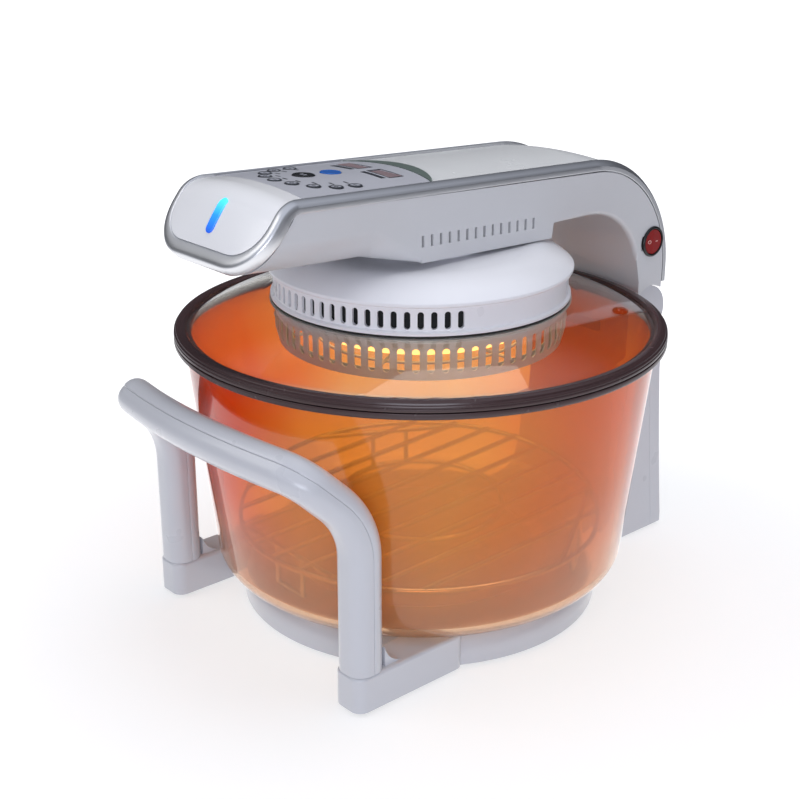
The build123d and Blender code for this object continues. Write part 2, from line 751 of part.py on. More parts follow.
def arm_face(inset, above):
    """Side view of the lower shell; above raises the open top."""
    front_z, corner_y, corner_z, radius = top_line(TRIM_H)
    corner_y -= inset
    radius -= inset
    steps, reach = under_line(inset)
    angle = radians(90) - atan(ARM_SLOPE)
    tangent = radius * tan(angle / 2)
    run = sqrt(1 + ARM_SLOPE**2)
    bend_start = (corner_y - tangent / run, corner_z + ARM_SLOPE * tangent / run)
    bend_end = (corner_y, corner_z - tangent)
    middle = radians(45) - atan(ARM_SLOPE) / 2
    hub = (corner_y - radius, bend_end[1])
    via = (hub[0] + radius * cos(middle), hub[1] + radius * sin(middle))
    end_z = PIVOT_Z + sqrt(reach**2 - (corner_y - PIVOT_Y) ** 2)
    start_z = front_z + ARM_SLOPE * (ARM_FRONT[0] - NOSE_END[0])
    if above:
        return outline(
            (NOSE_END[0], BOSS_FRONT[1] + inset),
            *steps,
            ((PIVOT_Y, PIVOT_Z + reach), (corner_y, end_z)),
            (corner_y, bend_end[1]),
            (corner_y + 20, bend_end[1] + 20),
            (corner_y + 20, 360),
            (NOSE_END[0], 360),
        )
    return outline(
        (NOSE_END[0], BOSS_FRONT[1]),
        *steps,
        ((PIVOT_Y, PIVOT_Z + reach), (corner_y, end_z)),
        bend_end,
        (via, bend_start),
        (NOSE_END[0], start_z),
    )


def arm_section(inset, y, low, corner_r):
    """Cross-section of the arm at y: flat sides and round lower corners."""
    half = ARM_X - inset
    low += inset
    radius = max(corner_r - inset, 0.5)
    lean = radius * 0.2929
    face = outline(
        (-half, 360),
        (-half, low + radius),
        ((-half + lean, low + lean), (-half + radius, low)),
        (half - radius, low),
        ((half - lean, low + lean), (half, low + radius)),
        (half, 360),
    )
    return Plane.XZ.offset(-y) * face


def arm_envelope(inset):
    """Between the arm's sides: round below at the nose, blending to square over the head."""
    nose = arm_section(inset, *NOSE_END)
    shoulder = arm_section(inset, *SHOULDER)
    boss = arm_section(inset, *BOSS_FRONT, BOSS_CORNER_R)
    half = ARM_X - inset
    rear = block(-half, half, BOSS_FRONT[0], 300, 100, 360)
    return loft([nose, shoulder], ruled=True) + loft([shoulder, boss], ruled=True) + rear


def behind_nose(depth):
    """Everything behind the tilted nose plane, moved back by depth."""
    normal = (0, -sin(FACE_TILT), cos(FACE_TILT))
    back = Plane(FACE_MIDDLE, x_dir=(1, 0, 0), z_dir=normal).offset(-depth)
    return extrude(back * Rectangle(260, 1400), -900)


def arm_lower_shell():
    body = slab(arm_face(0, False), -ARM_X, ARM_X) & arm_envelope(0)
    hollow = slab(arm_face(WALL, True), WALL - ARM_X, ARM_X - WALL) & arm_envelope(WALL)
    hollow &= block(-100, 100, -250, 300, PIVOT_Z + EAR_R + 4.5, 360)
    body -= hollow
    front = RIM_R + 2.6
    back = ARM_BACK_Y - TRIM_H
    web = slab(outline((front, 180), (back, 196), (back, 212), (front, 212)), -BARREL_X, BARREL_X)
    barrel = rod_x(BARREL_R, -BARREL_X, BARREL_X, PIVOT_Y, PIVOT_Z)
    body += web + barrel
    body -= rod_x(PIN_R + 0.02, -BARREL_X - 1, BARREL_X + 1, PIVOT_Y, PIVOT_Z)
    for side in (-1, 1):
        pocket = sorted((side * (BARREL_X - 7.5), side * (BARREL_X + 1)))
        body -= rod_x(8.2, pocket[0], pocket[1], PIVOT_Y, PIVOT_Z)
    body -= block(-BARREL_X - 20, -BARREL_X - 0.01, 165, 215, 150, PIVOT_Z + 8) & column_form(0)
    body &= behind_nose(NOSE_DEPTH)
    for number in range(14):
        y = -45 + 7.8 * number
        z = 276.4 - 0.045 * (y + 45)
        body -= block(-80, 80, y - 1.1, y + 1.1, z - 3.8, z + 3.8)
    body -= rod_x(SWITCH_R - 1.6, ARM_X - 6, ARM_X + 2, SWITCH_Y, SWITCH_Z)
    body -= rod_z(9, 0, 0, 250, 270)
    for x, y in ARM_SCREW_PLACES:
        body -= rod_z(1.7, x, y, 250, 268)
    return body


def crown_section(low, high, half_width):
    """Crowned strip across the arm, low and high above the crown surface."""
    disc_high = Pos(0, CROWN - CROWN_R) * Circle(CROWN_R + high)
    disc_low = Pos(0, CROWN - CROWN_R) * Circle(CROWN_R + low)
    return (disc_high - disc_low) & Rectangle(2 * half_width, 240)


def arm_top_cover():
    path = top_path(0, -180)
    start = Plane(path @ 0, x_dir=(1, 0, 0), z_dir=path % 0)
    section = start * (Rot(0, 0, 180) * crown_section(-COVER_T, 0, ARM_X - TRIM_W - 0.1))
    cover = sweep(section, path=path)
    cover &= behind_nose(NOSE_DEPTH)
    for name, x, v, radius in button_places():
        cover -= TOP * Pos(x, v, -10) * extrude(Circle(radius + 0.3), 30)
    for x in (-15.5, 15.5):
        cover -= TOP * Pos(x, WINDOW_V, 0) * Box(22, 10, 30)
    return cover


def trim_strips():
    """Polished strips along both top edges, over the bend and down to the hinge."""
    path = top_path(0, -180)
    start = Plane(path @ 0, x_dir=(1, 0, 0), z_dir=path % 0)
    strips = []
    for side in (-1, 1):
        height = TRIM_H + TRIM_RISE
        section = Pos(side * (ARM_X - TRIM_W / 2), TRIM_H - height / 2) * Rectangle(TRIM_W, height)
        strips.append(sweep(start * section, path=path))
    body = group([strip & behind_nose(NOSE_DEPTH) for strip in strips])
    return body


def nose_plane(depth):
    normal = (0, -sin(FACE_TILT), cos(FACE_TILT))
    return Plane(FACE_MIDDLE, x_dir=(1, 0, 0), z_dir=normal).offset(-depth)


def nose_outline(half, low, high, low_r, high_r):
    """Squircle of the nose: wide radii at its foot, small ones at its top."""
    lean = 0.2929
    return outline(
        (-half + low_r, low),
        (half - low_r, low),
        ((half - low_r * lean, low + low_r * lean), (half, low + low_r)),
        (half, high - high_r),
        ((half - high_r * lean, high - high_r * lean), (half - high_r, high)),
        (-half + high_r, high),
        ((-half + high_r * lean, high - high_r * lean), (-half, high - high_r)),
        (-half, low + low_r),
        ((-half + low_r * lean, low + low_r * lean), (-half + low_r, low)),
    )


def under_crown(rise):
    """Everything below the crowned top surface raised by rise."""
    return extrude(TOP * Pos(0, 60, 0) * Rot(90, 0, 0) * crown_section(-90, rise, 70), 140)


def nose_form():
    return loft([
        nose_plane(0) * nose_outline(51.0, -21.5, 32, 26, 12),
        nose_plane(NOSE_DEPTH - 0.1) * nose_outline(54.4, -26, 32.5, 28, 12),
    ])


def nose_ring():
    """Polished band round the foot and sides of the front plate, open at its top."""
    bore = extrude(nose_plane(NOSE_DEPTH + 1) * nose_outline(44.6, -17.2, 34, 22.2, 8), NOSE_DEPTH + 2)
    return (nose_form() & under_crown(TRIM_RISE)) - bore


def nose_face():
    """Front plate: it meets the control panel at its top edge."""
    plate = extrude(nose_plane(9.4) * nose_outline(44.4, -17, 33.8, 22, 8), 9.4)
    plate = plate & nose_form() & under_crown(0.85)
    plate -= TOP * block(-60, 60, 0.4, 40, -20, 20)
    return plate - extrude(nose_plane(8) * (Pos(0, 4) * led_shape(0.1)), 12)


def led_shape(gap):
    return Rot(0, 0, 90) * SlotOverall(24 + 2 * gap, 7.2 + 2 * gap)


def led_lens():
    return extrude(nose_plane(6) * (Pos(0, 4) * led_shape(0)), 6.3)


def control_panel():
    """Overlay that carries the buttons and display windows, up to the crescent."""
    strip = extrude(TOP * Pos(0, -7, 0) * Rot(90, 0, 0) * crown_section(0.05, 0.85, 44.5), -150)
    plan = outline((-44.5, 0.6), (44.5, 0.6), (44.5, 108.6), ((0, 115.6), (-44.5, 108.6)))
    panel = strip & (TOP * Pos(0, 0, -10) * extrude(plan, 30))
    for name, x, v, radius in button_places():
        panel -= TOP * Pos(x, v, -10) * extrude(Circle(radius + 0.3), 30)
    for x in (-15.5, 15.5):
        panel -= TOP * Pos(x, WINDOW_V, 0) * Box(22, 10, 30)
    return panel


def crescent_strip():
    strip = extrude(TOP * Pos(0, -7, 0) * Rot(90, 0, 0) * crown_section(0.05, 1.25, 45), -200)
    plan = outline((-45, 108.9), ((0, 116), (45, 108.9)), ((0, 126.5), (-45, 108.9)))
    return strip & (TOP * Pos(0, 0, -10) * extrude(plan, 30))


def display_windows():
    panes = []
    for x in (-15.5, 15.5):
        lift = crown_height(15.5)
        panes.append(TOP * Pos(x, WINDOW_V, lift - 0.9) * Box(21.6, 9.6, 3.4))
    return group(panes)


def button_places():
    """Name, x, v and radius of every button on the arm's top."""
    places = [BIG_BUTTON, LIGHT_BUTTON]
    for number in range(-4, 5):
        angle = radians(-90 + BUTTON_PITCH * number)
        x = BUTTON_RING_R * cos(angle)
        v = BUTTON_RING_V + BUTTON_RING_R * sin(angle)
        places.append((f"key_{number + 5}", x, v, BUTTON_R))
    return places


def button(x, v, radius):
    top = crown_height(x) + BUTTON_RISE
    cap = Pos(x, v, -3.6) * extrude(Circle(radius), top + 3.6)
    cap = chamfer(cap.edges().sort_by(Axis.Z)[-1], 0.5)
    cap += Pos(x, v, -4.6) * extrude(Circle(radius + 1.0), 1.0)
    cap += Pos(x, v, -6.6) * extrude(Circle(1.6), 2.4)
    return TOP * cap


def control_board():
    board = Pos(0, 57, -9.0) * Box(84, 108, 1.6)
    for name, x, v, radius in button_places():
        board += Pos(x, v, -8.25) * Box(6, 6, 1.3)
    return TOP * board


def power_board():
    board = block(-40, 40, 96, 160, 280, 281.6)
    board += block(-26, -6, 104, 128, 281.5, 295)
    board += rod_z(7, 14, 112, 281.5, 292)
    return board + block(4, 30, 136, 152, 281.5, 290)


def switch_bezel():
    body = rod_x(SWITCH_R, ARM_X, ARM_X + 1.8, SWITCH_Y, SWITCH_Z)
    body += rod_x(SWITCH_R - 1.7, ARM_X - 18, ARM_X, SWITCH_Y, SWITCH_Z)
    body = chamfer(body.edges().filter_by(GeomType.CIRCLE).sort_by(Axis.X)[-1], 0.8)
    hollow = rod_x(ROCKER_R + 0.35, ARM_X - 4.5, ARM_X + 4, SWITCH_Y, SWITCH_Z)
    return body - hollow - rod_x(7.5, ARM_X - 16, ARM_X - 4, SWITCH_Y, SWITCH_Z)


def power_rocker():
    """Round rocker with a shallow V face, resting tilted to one side."""
    body = rod_x(ROCKER_R, ARM_X - 1.8, ARM_X + 1.9, SWITCH_Y, SWITCH_Z)
    for side in (-1, 1):
        cutter = Pos(ARM_X + 4.4, SWITCH_Y, SWITCH_Z) * Rot(0, 0, side * ROCKER_TILT) * Pos(0, side * 10, 0)
        body -= cutter * Box(6, 20, 30)
    stem = block(ARM_X - 7, ARM_X - 1.7, SWITCH_Y - 2, SWITCH_Y + 2, SWITCH_Z - 4, SWITCH_Z + 4)
    body += stem
    turn = Pos(ARM_X - 1, SWITCH_Y, 0) * Rot(0, 0, -ROCKER_TILT) * Pos(1 - ARM_X, -SWITCH_Y, 0)
    return turn * body


# ---------------------------------------------------------------- write every node
def all_nodes():
    column_front, column_back = column_parts()
    half = POST_D / 2
    nodes = {
        "base_shell": base_shell(),
        "base_plate": base_plate(),
        "rubber_feet": rubber_feet(),
        "housing_screws": housing_screws(),
        "bowl_seat_ring": bowl_seat_ring(),
        "column_shell": column_front,
        "column_back_cover": column_back,
        "terminal_block": terminal_block(),
        "safety_switch": safety_switch(),
        "cable_gland": cable_gland(),
        "handle_front_shell": handle_shell(-half - 1, HANDLE_SEAM - 0.1),
        "handle_rear_shell": handle_shell(HANDLE_SEAM + 0.1, half + 1),
        "hinge_pin": hinge_pin(),
        "lid_springs": lid_springs(),
        "glass_bowl": glass_bowl(),
        "bowl_rim_ring": bowl_rim_ring(),
        "wire_rack": wire_rack(),
        "lid_glass": lid_glass(),
        "lid_ring": lid_ring(),
        "lid_gasket": lid_gasket(),
        "head_vent_band": head_vent_band(),
        "head_dome": head_dome(),
        "heater_guard": heater_guard(),
        "guard_grille": guard_grille(),
        "reflector_plate": reflector_plate(),
        "halogen_tube": halogen_tube(),
        "tube_holders": tube_holders(),
        "lid_screws": lid_screws(),
        "fan_motor": fan_motor(),
        "thermostat_probe": thermostat_probe(),
        "thermal_fuse": thermal_fuse(),
        "motor_shaft": motor_shaft(),
        "cooling_fan": cooling_fan(),
        "convection_fan": convection_fan(),
        "arm_lower_shell": arm_lower_shell(),
        "arm_top_cover": arm_top_cover(),
        "trim_strips": trim_strips(),
        "nose_ring": nose_ring(),
        "nose_face": nose_face(),
        "led_lens": led_lens(),
        "control_panel": control_panel(),
        "crescent_strip": crescent_strip(),
        "display_windows": display_windows(),
        "control_board": control_board(),
        "power_board": power_board(),
        "switch_bezel": switch_bezel(),
        "power_rocker": power_rocker(),
    }
    for name, x, v, radius in button_places():
        nodes[name] = button(x, v, radius)
    return nodes


os.makedirs("parts", exist_ok=True)
for node, body in all_nodes().items():
    export_step(body, f"parts/{node}.step")
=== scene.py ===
from math import atan2, cos, hypot, pi, radians, sin, sqrt, tan

import bmesh
import bpy
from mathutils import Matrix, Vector


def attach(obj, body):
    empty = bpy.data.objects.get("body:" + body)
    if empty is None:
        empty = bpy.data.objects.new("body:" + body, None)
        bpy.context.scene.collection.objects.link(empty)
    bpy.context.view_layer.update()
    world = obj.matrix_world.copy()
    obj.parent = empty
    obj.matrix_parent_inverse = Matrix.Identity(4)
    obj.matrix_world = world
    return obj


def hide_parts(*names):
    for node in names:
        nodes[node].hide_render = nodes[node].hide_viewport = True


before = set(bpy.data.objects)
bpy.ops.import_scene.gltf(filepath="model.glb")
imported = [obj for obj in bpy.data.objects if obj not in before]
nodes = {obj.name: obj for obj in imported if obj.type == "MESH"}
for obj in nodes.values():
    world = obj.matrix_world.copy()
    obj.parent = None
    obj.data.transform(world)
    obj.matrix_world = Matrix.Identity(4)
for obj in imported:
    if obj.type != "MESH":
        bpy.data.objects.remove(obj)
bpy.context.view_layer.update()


# ---------------------------------------------------------------- studio
# A white paper sweep lit by three large soft lamps, as for a catalogue picture:
# lengths in metres, angles in degrees. Nothing here belongs to the oven.
CAMERA_PLACE = (0.6939, -0.6287, 0.5024)
CAMERA_DOWN = 21.027
CAMERA_TURN = 48.685
CAMERA_LENS = 63.26

# The room is plain white to the eye. What lights and is mirrored is a cool white
# that grows from the horizon towards the upper front.
ROOM_TINT = "#DEE3F0"
ROOM_EVEN = 0.46                       # strength on matt surfaces, all round
BRIGHT_WAY = (0.25, -0.3, 0.92)
BRIGHT_SPAN = (0.2, 0.7)               # from where to where the mirrored white grows
BRIGHT_GAIN = (-0.38, 0.45)            # what it adds to ROOM_EVEN at those two places
GLASS_RISE = (0.02, 0.14)              # behind glass the plain white ends between these heights

FLOOR_HALF = 9.0
FLOOR_DROP = 0.0002                    # the feet stand this far clear of the paper
PAPER = (0.5, 0.5, 0.51, 1)
PAPER_NEAR, PAPER_FAR = 0.25, 0.7      # the contact shadow fades between these distances
PAPER_GLOW = 0.6                       # own light of the paper under the oven; 1 beyond PAPER_FAR
PAPER_LIFT = 0.38                      # light that the paper throws up on matt surfaces
MIRROR_NEAR, MIRROR_FAR = 0.5, 0.95    # mirrored paper darkens between these distances
MIRROR_GLOW = (0.95, 0.04)


def linear(code):
    """sRGB hex as the linear colour a shader takes."""
    values = [int(code[i:i + 2], 16) / 255 for i in (1, 3, 5)]
    values = [v / 12.92 if v <= 0.04045 else ((v + 0.055) / 1.055) ** 2.4 for v in values]
    return (*values, 1.0)


def add_node(tree, kind, inputs=None, **settings):
    """One shader or geometry node; inputs are values or the sockets that feed them."""
    node = tree.nodes.new(kind)
    for key, value in settings.items():
        setattr(node, key, value)
    for key, value in (inputs or {}).items():
        if isinstance(value, bpy.types.NodeSocket):
            tree.links.new(value, node.inputs[key])
        else:
            node.inputs[key].default_value = value
    return node


def new_material(name):
    """Empty node material and its tree."""
    material = bpy.data.materials.new(name)
    material.use_nodes = True
    material.node_tree.nodes.clear()
    return material, material.node_tree


def finish_material(tree, shader, shade=None):
    """Puts the shader on the surface; glass lets light of the colour shade through to what it covers."""
    if shade:
        ray = add_node(tree, "ShaderNodeLightPath").outputs["Is Shadow Ray"]
        through = add_node(tree, "ShaderNodeBsdfTransparent", {"Color": linear(shade)})
        shader = add_node(tree, "ShaderNodeMixShader", {0: ray, 1: shader, 2: through.outputs[0]}).outputs[0]
    add_node(tree, "ShaderNodeOutputMaterial", {"Surface": shader})


scene = bpy.context.scene
scene.view_settings.view_transform = "Standard"

camera_data = bpy.data.cameras.new("catalogue_camera")
camera_data.lens = CAMERA_LENS
camera_data.sensor_width = 36
camera = bpy.data.objects.new("catalogue_camera", camera_data)
camera.location = CAMERA_PLACE
camera.rotation_euler = (radians(90 - CAMERA_DOWN), 0, radians(CAMERA_TURN))
scene.collection.objects.link(camera)
scene.camera = camera

world = bpy.data.worlds.new("white_studio")
world.use_nodes = True
tree = world.node_tree
tree.nodes.clear()
rays = add_node(tree, "ShaderNodeLightPath").outputs
way = add_node(tree, "ShaderNodeTexCoord").outputs["Generated"]
rise = add_node(tree, "ShaderNodeSeparateXYZ", {0: way}).outputs["Z"]
low_down = add_node(tree, "ShaderNodeMapRange", {
    0: rise, 1: GLASS_RISE[0], 2: GLASS_RISE[1], 3: 1.0, 4: 0.0})
through = add_node(tree, "ShaderNodeMath", {
    0: low_down.outputs[0], 1: rays["Is Transmission Ray"]}, operation="MULTIPLY")
seen = add_node(tree, "ShaderNodeMath", {
    0: rays["Is Camera Ray"], 1: through.outputs[0]}, operation="MAXIMUM")
bounced = add_node(tree, "ShaderNodeMath", {
    0: rays["Is Glossy Ray"], 1: rays["Is Transmission Ray"]}, operation="MAXIMUM")
lit = add_node(tree, "ShaderNodeVectorMath", {0: way, 1: BRIGHT_WAY}, operation="DOT_PRODUCT")
gain = add_node(tree, "ShaderNodeMapRange", {
    0: lit.outputs["Value"], 1: BRIGHT_SPAN[0], 2: BRIGHT_SPAN[1], 3: BRIGHT_GAIN[0], 4: BRIGHT_GAIN[1]},
    interpolation_type="SMOOTHSTEP")
power = add_node(tree, "ShaderNodeMath", {
    0: gain.outputs[0], 1: bounced.outputs[0], 2: ROOM_EVEN}, operation="MULTIPLY_ADD")
shown = add_node(tree, "ShaderNodeBackground", {"Color": (1, 1, 1, 1), "Strength": 1.0})
fill = add_node(tree, "ShaderNodeBackground", {"Color": linear(ROOM_TINT), "Strength": power.outputs[0]})
both = add_node(tree, "ShaderNodeMixShader", {0: seen.outputs[0], 1: fill.outputs[0], 2: shown.outputs[0]})
add_node(tree, "ShaderNodeOutputWorld", {"Surface": both.outputs[0]})
scene.world = world


def area_lamp(name, place, aim, size, watts, colour="#FFFFFF", mirrored=True):
    """Rectangular lamp at place, turned towards aim, that polished faces may mirror."""
    data = bpy.data.lights.new(name, "AREA")
    data.shape = "RECTANGLE"
    data.size, data.size_y = size
    data.energy = watts
    data.color = linear(colour)[:3]
    lamp = bpy.data.objects.new(name, data)
    lamp.location = place
    lamp.rotation_euler = (Vector(aim) - Vector(place)).to_track_quat("-Z", "Y").to_euler()
    lamp.visible_glossy = mirrored
    scene.collection.objects.link(lamp)


area_lamp("key_lamp", place=(-0.9, -1.5, 1.6), aim=(0, -0.05, 0.15), size=(1.3, 1.3), watts=8, colour="#FFFDF8")
area_lamp("top_lamp", place=(0.1, 0.2, 1.9), aim=(0, 0, 0.2), size=(1.6, 1.2), watts=15, mirrored=False)
area_lamp("front_lamp", place=(1.25, -1.1, 0.32), aim=(0, 0.05, 0.24), size=(0.9, 0.5), watts=7.5, colour="#EEF2FF")

floor_mesh = bpy.data.meshes.new("studio_floor")
floor_mesh.from_pydata([(x * FLOOR_HALF, y * FLOOR_HALF, -FLOOR_DROP) for x, y in (
    (-1, -1), (1, -1), (1, 1), (-1, 1))], [], [(0, 1, 2, 3)])
floor = bpy.data.objects.new("studio_floor", floor_mesh)
scene.collection.objects.link(floor)
material, tree = new_material("white_paper_sweep")
place = add_node(tree, "ShaderNodeTexCoord").outputs["Object"]
away = add_node(tree, "ShaderNodeVectorMath", {0: place}, operation="LENGTH").outputs["Value"]
shown = add_node(tree, "ShaderNodeMapRange", {
    0: away, 1: PAPER_NEAR, 2: PAPER_FAR, 3: PAPER_GLOW, 4: 1.0}, interpolation_type="SMOOTHSTEP")
rays = add_node(tree, "ShaderNodeLightPath").outputs
seen = add_node(tree, "ShaderNodeMath", {
    0: rays["Is Camera Ray"], 1: rays["Is Transmission Ray"]}, operation="MAXIMUM")
mirrored = add_node(tree, "ShaderNodeMapRange", {
    0: away, 1: MIRROR_NEAR, 2: MIRROR_FAR, 3: MIRROR_GLOW[0], 4: MIRROR_GLOW[1]},
    interpolation_type="SMOOTHSTEP")
other = add_node(tree, "ShaderNodeMix", {0: rays["Is Glossy Ray"], 2: PAPER_LIFT, 3: mirrored.outputs[0]})
power = add_node(tree, "ShaderNodeMix", {0: seen.outputs[0], 2: other.outputs[0], 3: shown.outputs[0]})
paper = add_node(tree, "ShaderNodeBsdfDiffuse", {"Color": PAPER})
glow = add_node(tree, "ShaderNodeEmission", {"Color": (1, 1, 1, 1), "Strength": power.outputs[0]})
both = add_node(tree, "ShaderNodeAddShader", {0: paper.outputs[0], 1: glow.outputs[0]})
finish_material(tree, both.outputs[0])
floor_mesh.materials.append(material)


# ---------------------------------------------------------------- base
# Drum with two front legs and a rear tongue: one injection moulding in gloss
# white ABS, closed below by a screwed plate. The bowl stands on its seat ring.
MM = 0.001               # sizes of the oven's pieces are in millimetres
WHITE = "#C9CAD0"
PEEL_SCALE = 480.0       # waves of orange peel in a metre: 2 mm each, drawn coarser than the real 0.5 mm
PEEL_DEEP = 0.4
CLOUD_SCALE = 26.0       # clouds in a metre: the flow of the plastic leaves patches about 40 mm across
SHARP = 30.0             # edges that turn more than this many degrees stay sharp
FLAT = 0.4               # triangles that turn less than this are joined before an edge is rounded


def moulded(name, colour, roughness=0.28, peel=0.03, cloud=0.03, coat=0.25):
    """Moulded ABS: broad soft highlights that a faint orange peel breaks up, over slow clouding."""
    material, tree = new_material(name)
    place = add_node(tree, "ShaderNodeTexCoord").outputs["Object"]
    skin = add_node(tree, "ShaderNodeTexNoise", {"Vector": place, "Scale": PEEL_SCALE, "Detail": 2.0})
    bump = add_node(tree, "ShaderNodeBump", {
        "Height": skin.outputs["Fac"], "Strength": peel, "Distance": PEEL_DEEP * MM})
    patch = add_node(tree, "ShaderNodeTexNoise", {"Vector": place, "Scale": CLOUD_SCALE, "Detail": 3.0})
    value = add_node(tree, "ShaderNodeMapRange", {0: patch.outputs["Fac"], 3: 1.0 - cloud, 4: 1.0 + cloud})
    tint = add_node(tree, "ShaderNodeHueSaturation", {"Color": linear(colour), "Value": value.outputs[0]})
    rough = add_node(tree, "ShaderNodeMapRange", {
        0: patch.outputs["Fac"], 3: roughness - 0.03, 4: roughness + 0.04})
    shader = add_node(tree, "ShaderNodeBsdfPrincipled", {
        "Base Color": tint.outputs[0], "Roughness": rough.outputs[0], "Normal": bump.outputs[0],
        "IOR": 1.5, "Coat Weight": coat, "Coat Roughness": 0.08})
    finish_material(tree, shader.outputs[0])
    return material


def close_and_smooth(mesh, sharp=SHARP):
    """Merges doubled points, turns every face outward and shades smooth up to the sharp angle."""
    work = bmesh.new()
    work.from_mesh(mesh)
    bmesh.ops.remove_doubles(work, verts=work.verts, dist=0.001 * MM)
    bmesh.ops.recalc_face_normals(work, faces=work.faces)
    for face in work.faces:
        face.smooth = True
    for edge in work.edges:
        edge.smooth = len(edge.link_faces) == 2 and edge.calc_face_angle(0) < radians(sharp)
    work.to_mesh(mesh)
    work.free()
    mesh.update()


def soften(piece, width=0.0):
    """Rounded edges of that width in millimetres, with face-weighted normals."""
    if width:
        bevel = piece.modifiers.new("soft_edges", "BEVEL")
        bevel.width = width * MM
        bevel.segments = 2
        bevel.limit_method = "ANGLE"
        bevel.angle_limit = radians(SHARP)
        bevel.use_clamp_overlap = True
    weigh = piece.modifiers.new("flat_faces", "WEIGHTED_NORMAL")
    weigh.keep_sharp = True


def settle(piece, body, slot, *replaced):
    """The piece rides on its body and stands for the CAD nodes named."""
    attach(piece, body)
    if replaced:
        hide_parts(*replaced)


def refined(node, body, material, slot, width=0.0, shape=None):
    """Skin for one CAD node: a merged copy of its mesh with softened edges; shape may work on it first."""
    mesh = nodes[node].data.copy()
    mesh.name = node + "_skin"
    if mesh.has_custom_normals:
        mesh.attributes.remove(mesh.attributes["custom_normal"])
    close_and_smooth(mesh)
    if width or shape:
        work = bmesh.new()
        work.from_mesh(mesh)
        if width:
            bmesh.ops.dissolve_limit(work, angle_limit=radians(FLAT), verts=work.verts, edges=work.edges)
        if shape:
            shape(work)
        work.to_mesh(mesh)
        work.free()
    mesh.materials.clear()
    mesh.materials.append(material)
    piece = bpy.data.objects.new(node + "_skin", mesh)
    scene.collection.objects.link(piece)
    soften(piece, width)
    settle(piece, body, slot, node)
    return piece


def paint(material, *names):
    """CAD nodes that are shown as they are, in this material."""
    for name in names:
        nodes[name].data.materials.clear()
        nodes[name].data.materials.append(material)


# injection-moulded gloss ABS: clean white with wide, slightly rippled highlights
white_abs = moulded("gloss_white_abs", WHITE)
refined("base_shell", "base", white_abs, "white_gloss", width=0.5)


# ---------------------------------------------------------------- column
# Hinge column behind the bowl: a front shell with two ears and a screwed rear
# cover, moulded in the same gloss white ABS as the base.
refined("column_shell", "base", white_abs, "white_gloss", width=0.9)
refined("column_back_cover", "base", white_abs, "white_gloss", width=0.5)


# ---------------------------------------------------------------- underside and fixings
# Grey moulded plate under the drum, six rubber feet, zinc-plated screws, a nylon
# cord gland at the back, and the steel pin and springs of the hinge.
def plain(name, colour, roughness, metallic=0.0, mottle=0.0, scale=60.0):
    """Even finish whose gloss and shade wander a little, in that many patches to the metre."""
    material, tree = new_material(name)
    place = add_node(tree, "ShaderNodeTexCoord").outputs["Object"]
    patch = add_node(tree, "ShaderNodeTexNoise", {"Vector": place, "Scale": scale, "Detail": 4.0})
    value = add_node(tree, "ShaderNodeMapRange", {0: patch.outputs["Fac"], 3: 1.0 - mottle, 4: 1.0 + mottle})
    tint = add_node(tree, "ShaderNodeHueSaturation", {"Color": linear(colour), "Value": value.outputs[0]})
    rough = add_node(tree, "ShaderNodeMapRange", {
        0: patch.outputs["Fac"], 3: roughness * 0.85, 4: min(1.0, roughness * 1.15)})
    shader = add_node(tree, "ShaderNodeBsdfPrincipled", {
        "Base Color": tint.outputs[0], "Roughness": rough.outputs[0], "Metallic": metallic})
    finish_material(tree, shader.outputs[0])
    return material


# textured grey ABS: no gloss coat, so it reads dull under the oven
plate_grey = moulded("grey_abs_plate", "#A9ABB0", 0.5, peel=0.12, cloud=0.05, coat=0.0)
refined("base_plate", "base", plate_grey, "base_plate_grey", width=0.4)
# moulded rubber: deep black without a clear highlight
rubber = plain("black_rubber", "#1B1B1C", 0.75, mottle=0.15)
refined("rubber_feet", "base", rubber, "black_rubber", width=0.5)
# zinc-plated steel, crystals about 1 mm across: bright heads with a slight sparkle
zinc = plain("zinc_plated_steel", "#B9BBBD", 0.3, metallic=1.0, mottle=0.06, scale=900.0)
paint(zinc, "housing_screws", "lid_screws")
# cast silicone: milky and soft to look at
paint(plain("translucent_silicone", "#D8D4CC", 0.45, mottle=0.05), "bowl_seat_ring")
# moulded nylon: satin black
nylon = plain("black_nylon", "#202123", 0.42, mottle=0.1)
refined("cable_gland", "base", nylon, "nylon_black", width=0.4)
paint(nylon, "terminal_block", "safety_switch")
# ground and hardened steel: grey metal, brighter than the zinc and more even
ground_steel = plain("ground_steel", "#A8A9AB", 0.25, metallic=1.0, mottle=0.05, scale=700.0)
paint(ground_steel, "hinge_pin", "lid_springs")


# ---------------------------------------------------------------- handle
# Bowed carrying handle standing on the two legs: gas-assisted tube moulded in
# two half shells of gloss white ABS that meet in a seam behind the bar's middle.
# The bar follows these points, with a rounded bend at each but the ends.
HANDLE_FOOT = (102.0, -141.5, 27.5)
HANDLE_KNEE = (102.0, -141.5, 128.7)
HANDLE_CORNER = (91.5, -177.5, 165.0)
HANDLE_MIDDLE = (0.0, -196.0, 169.0)
HANDLE_RADII = (54.0, 19.0, 388.0)
HANDLE_WIDE, HANDLE_DEEP, HANDLE_ROUND = 26.0, 25.0, 10.6
SEAM = 1.0               # the two shells part this far behind the bar's middle
SEAM_GAP = 0.08          # half of the open joint
SEAM_EASE = 0.35         # broken corner beside the joint
HANDLE_SHARP = 34.0


def arc(centre, radius, start, end, count):
    """Points on a circle in the plane, from start to end in degrees."""
    turns = [radians(start + (end - start) * i / count) for i in range(count + 1)]
    return [(centre[0] + radius * cos(a), centre[1] + radius * sin(a)) for a in turns]


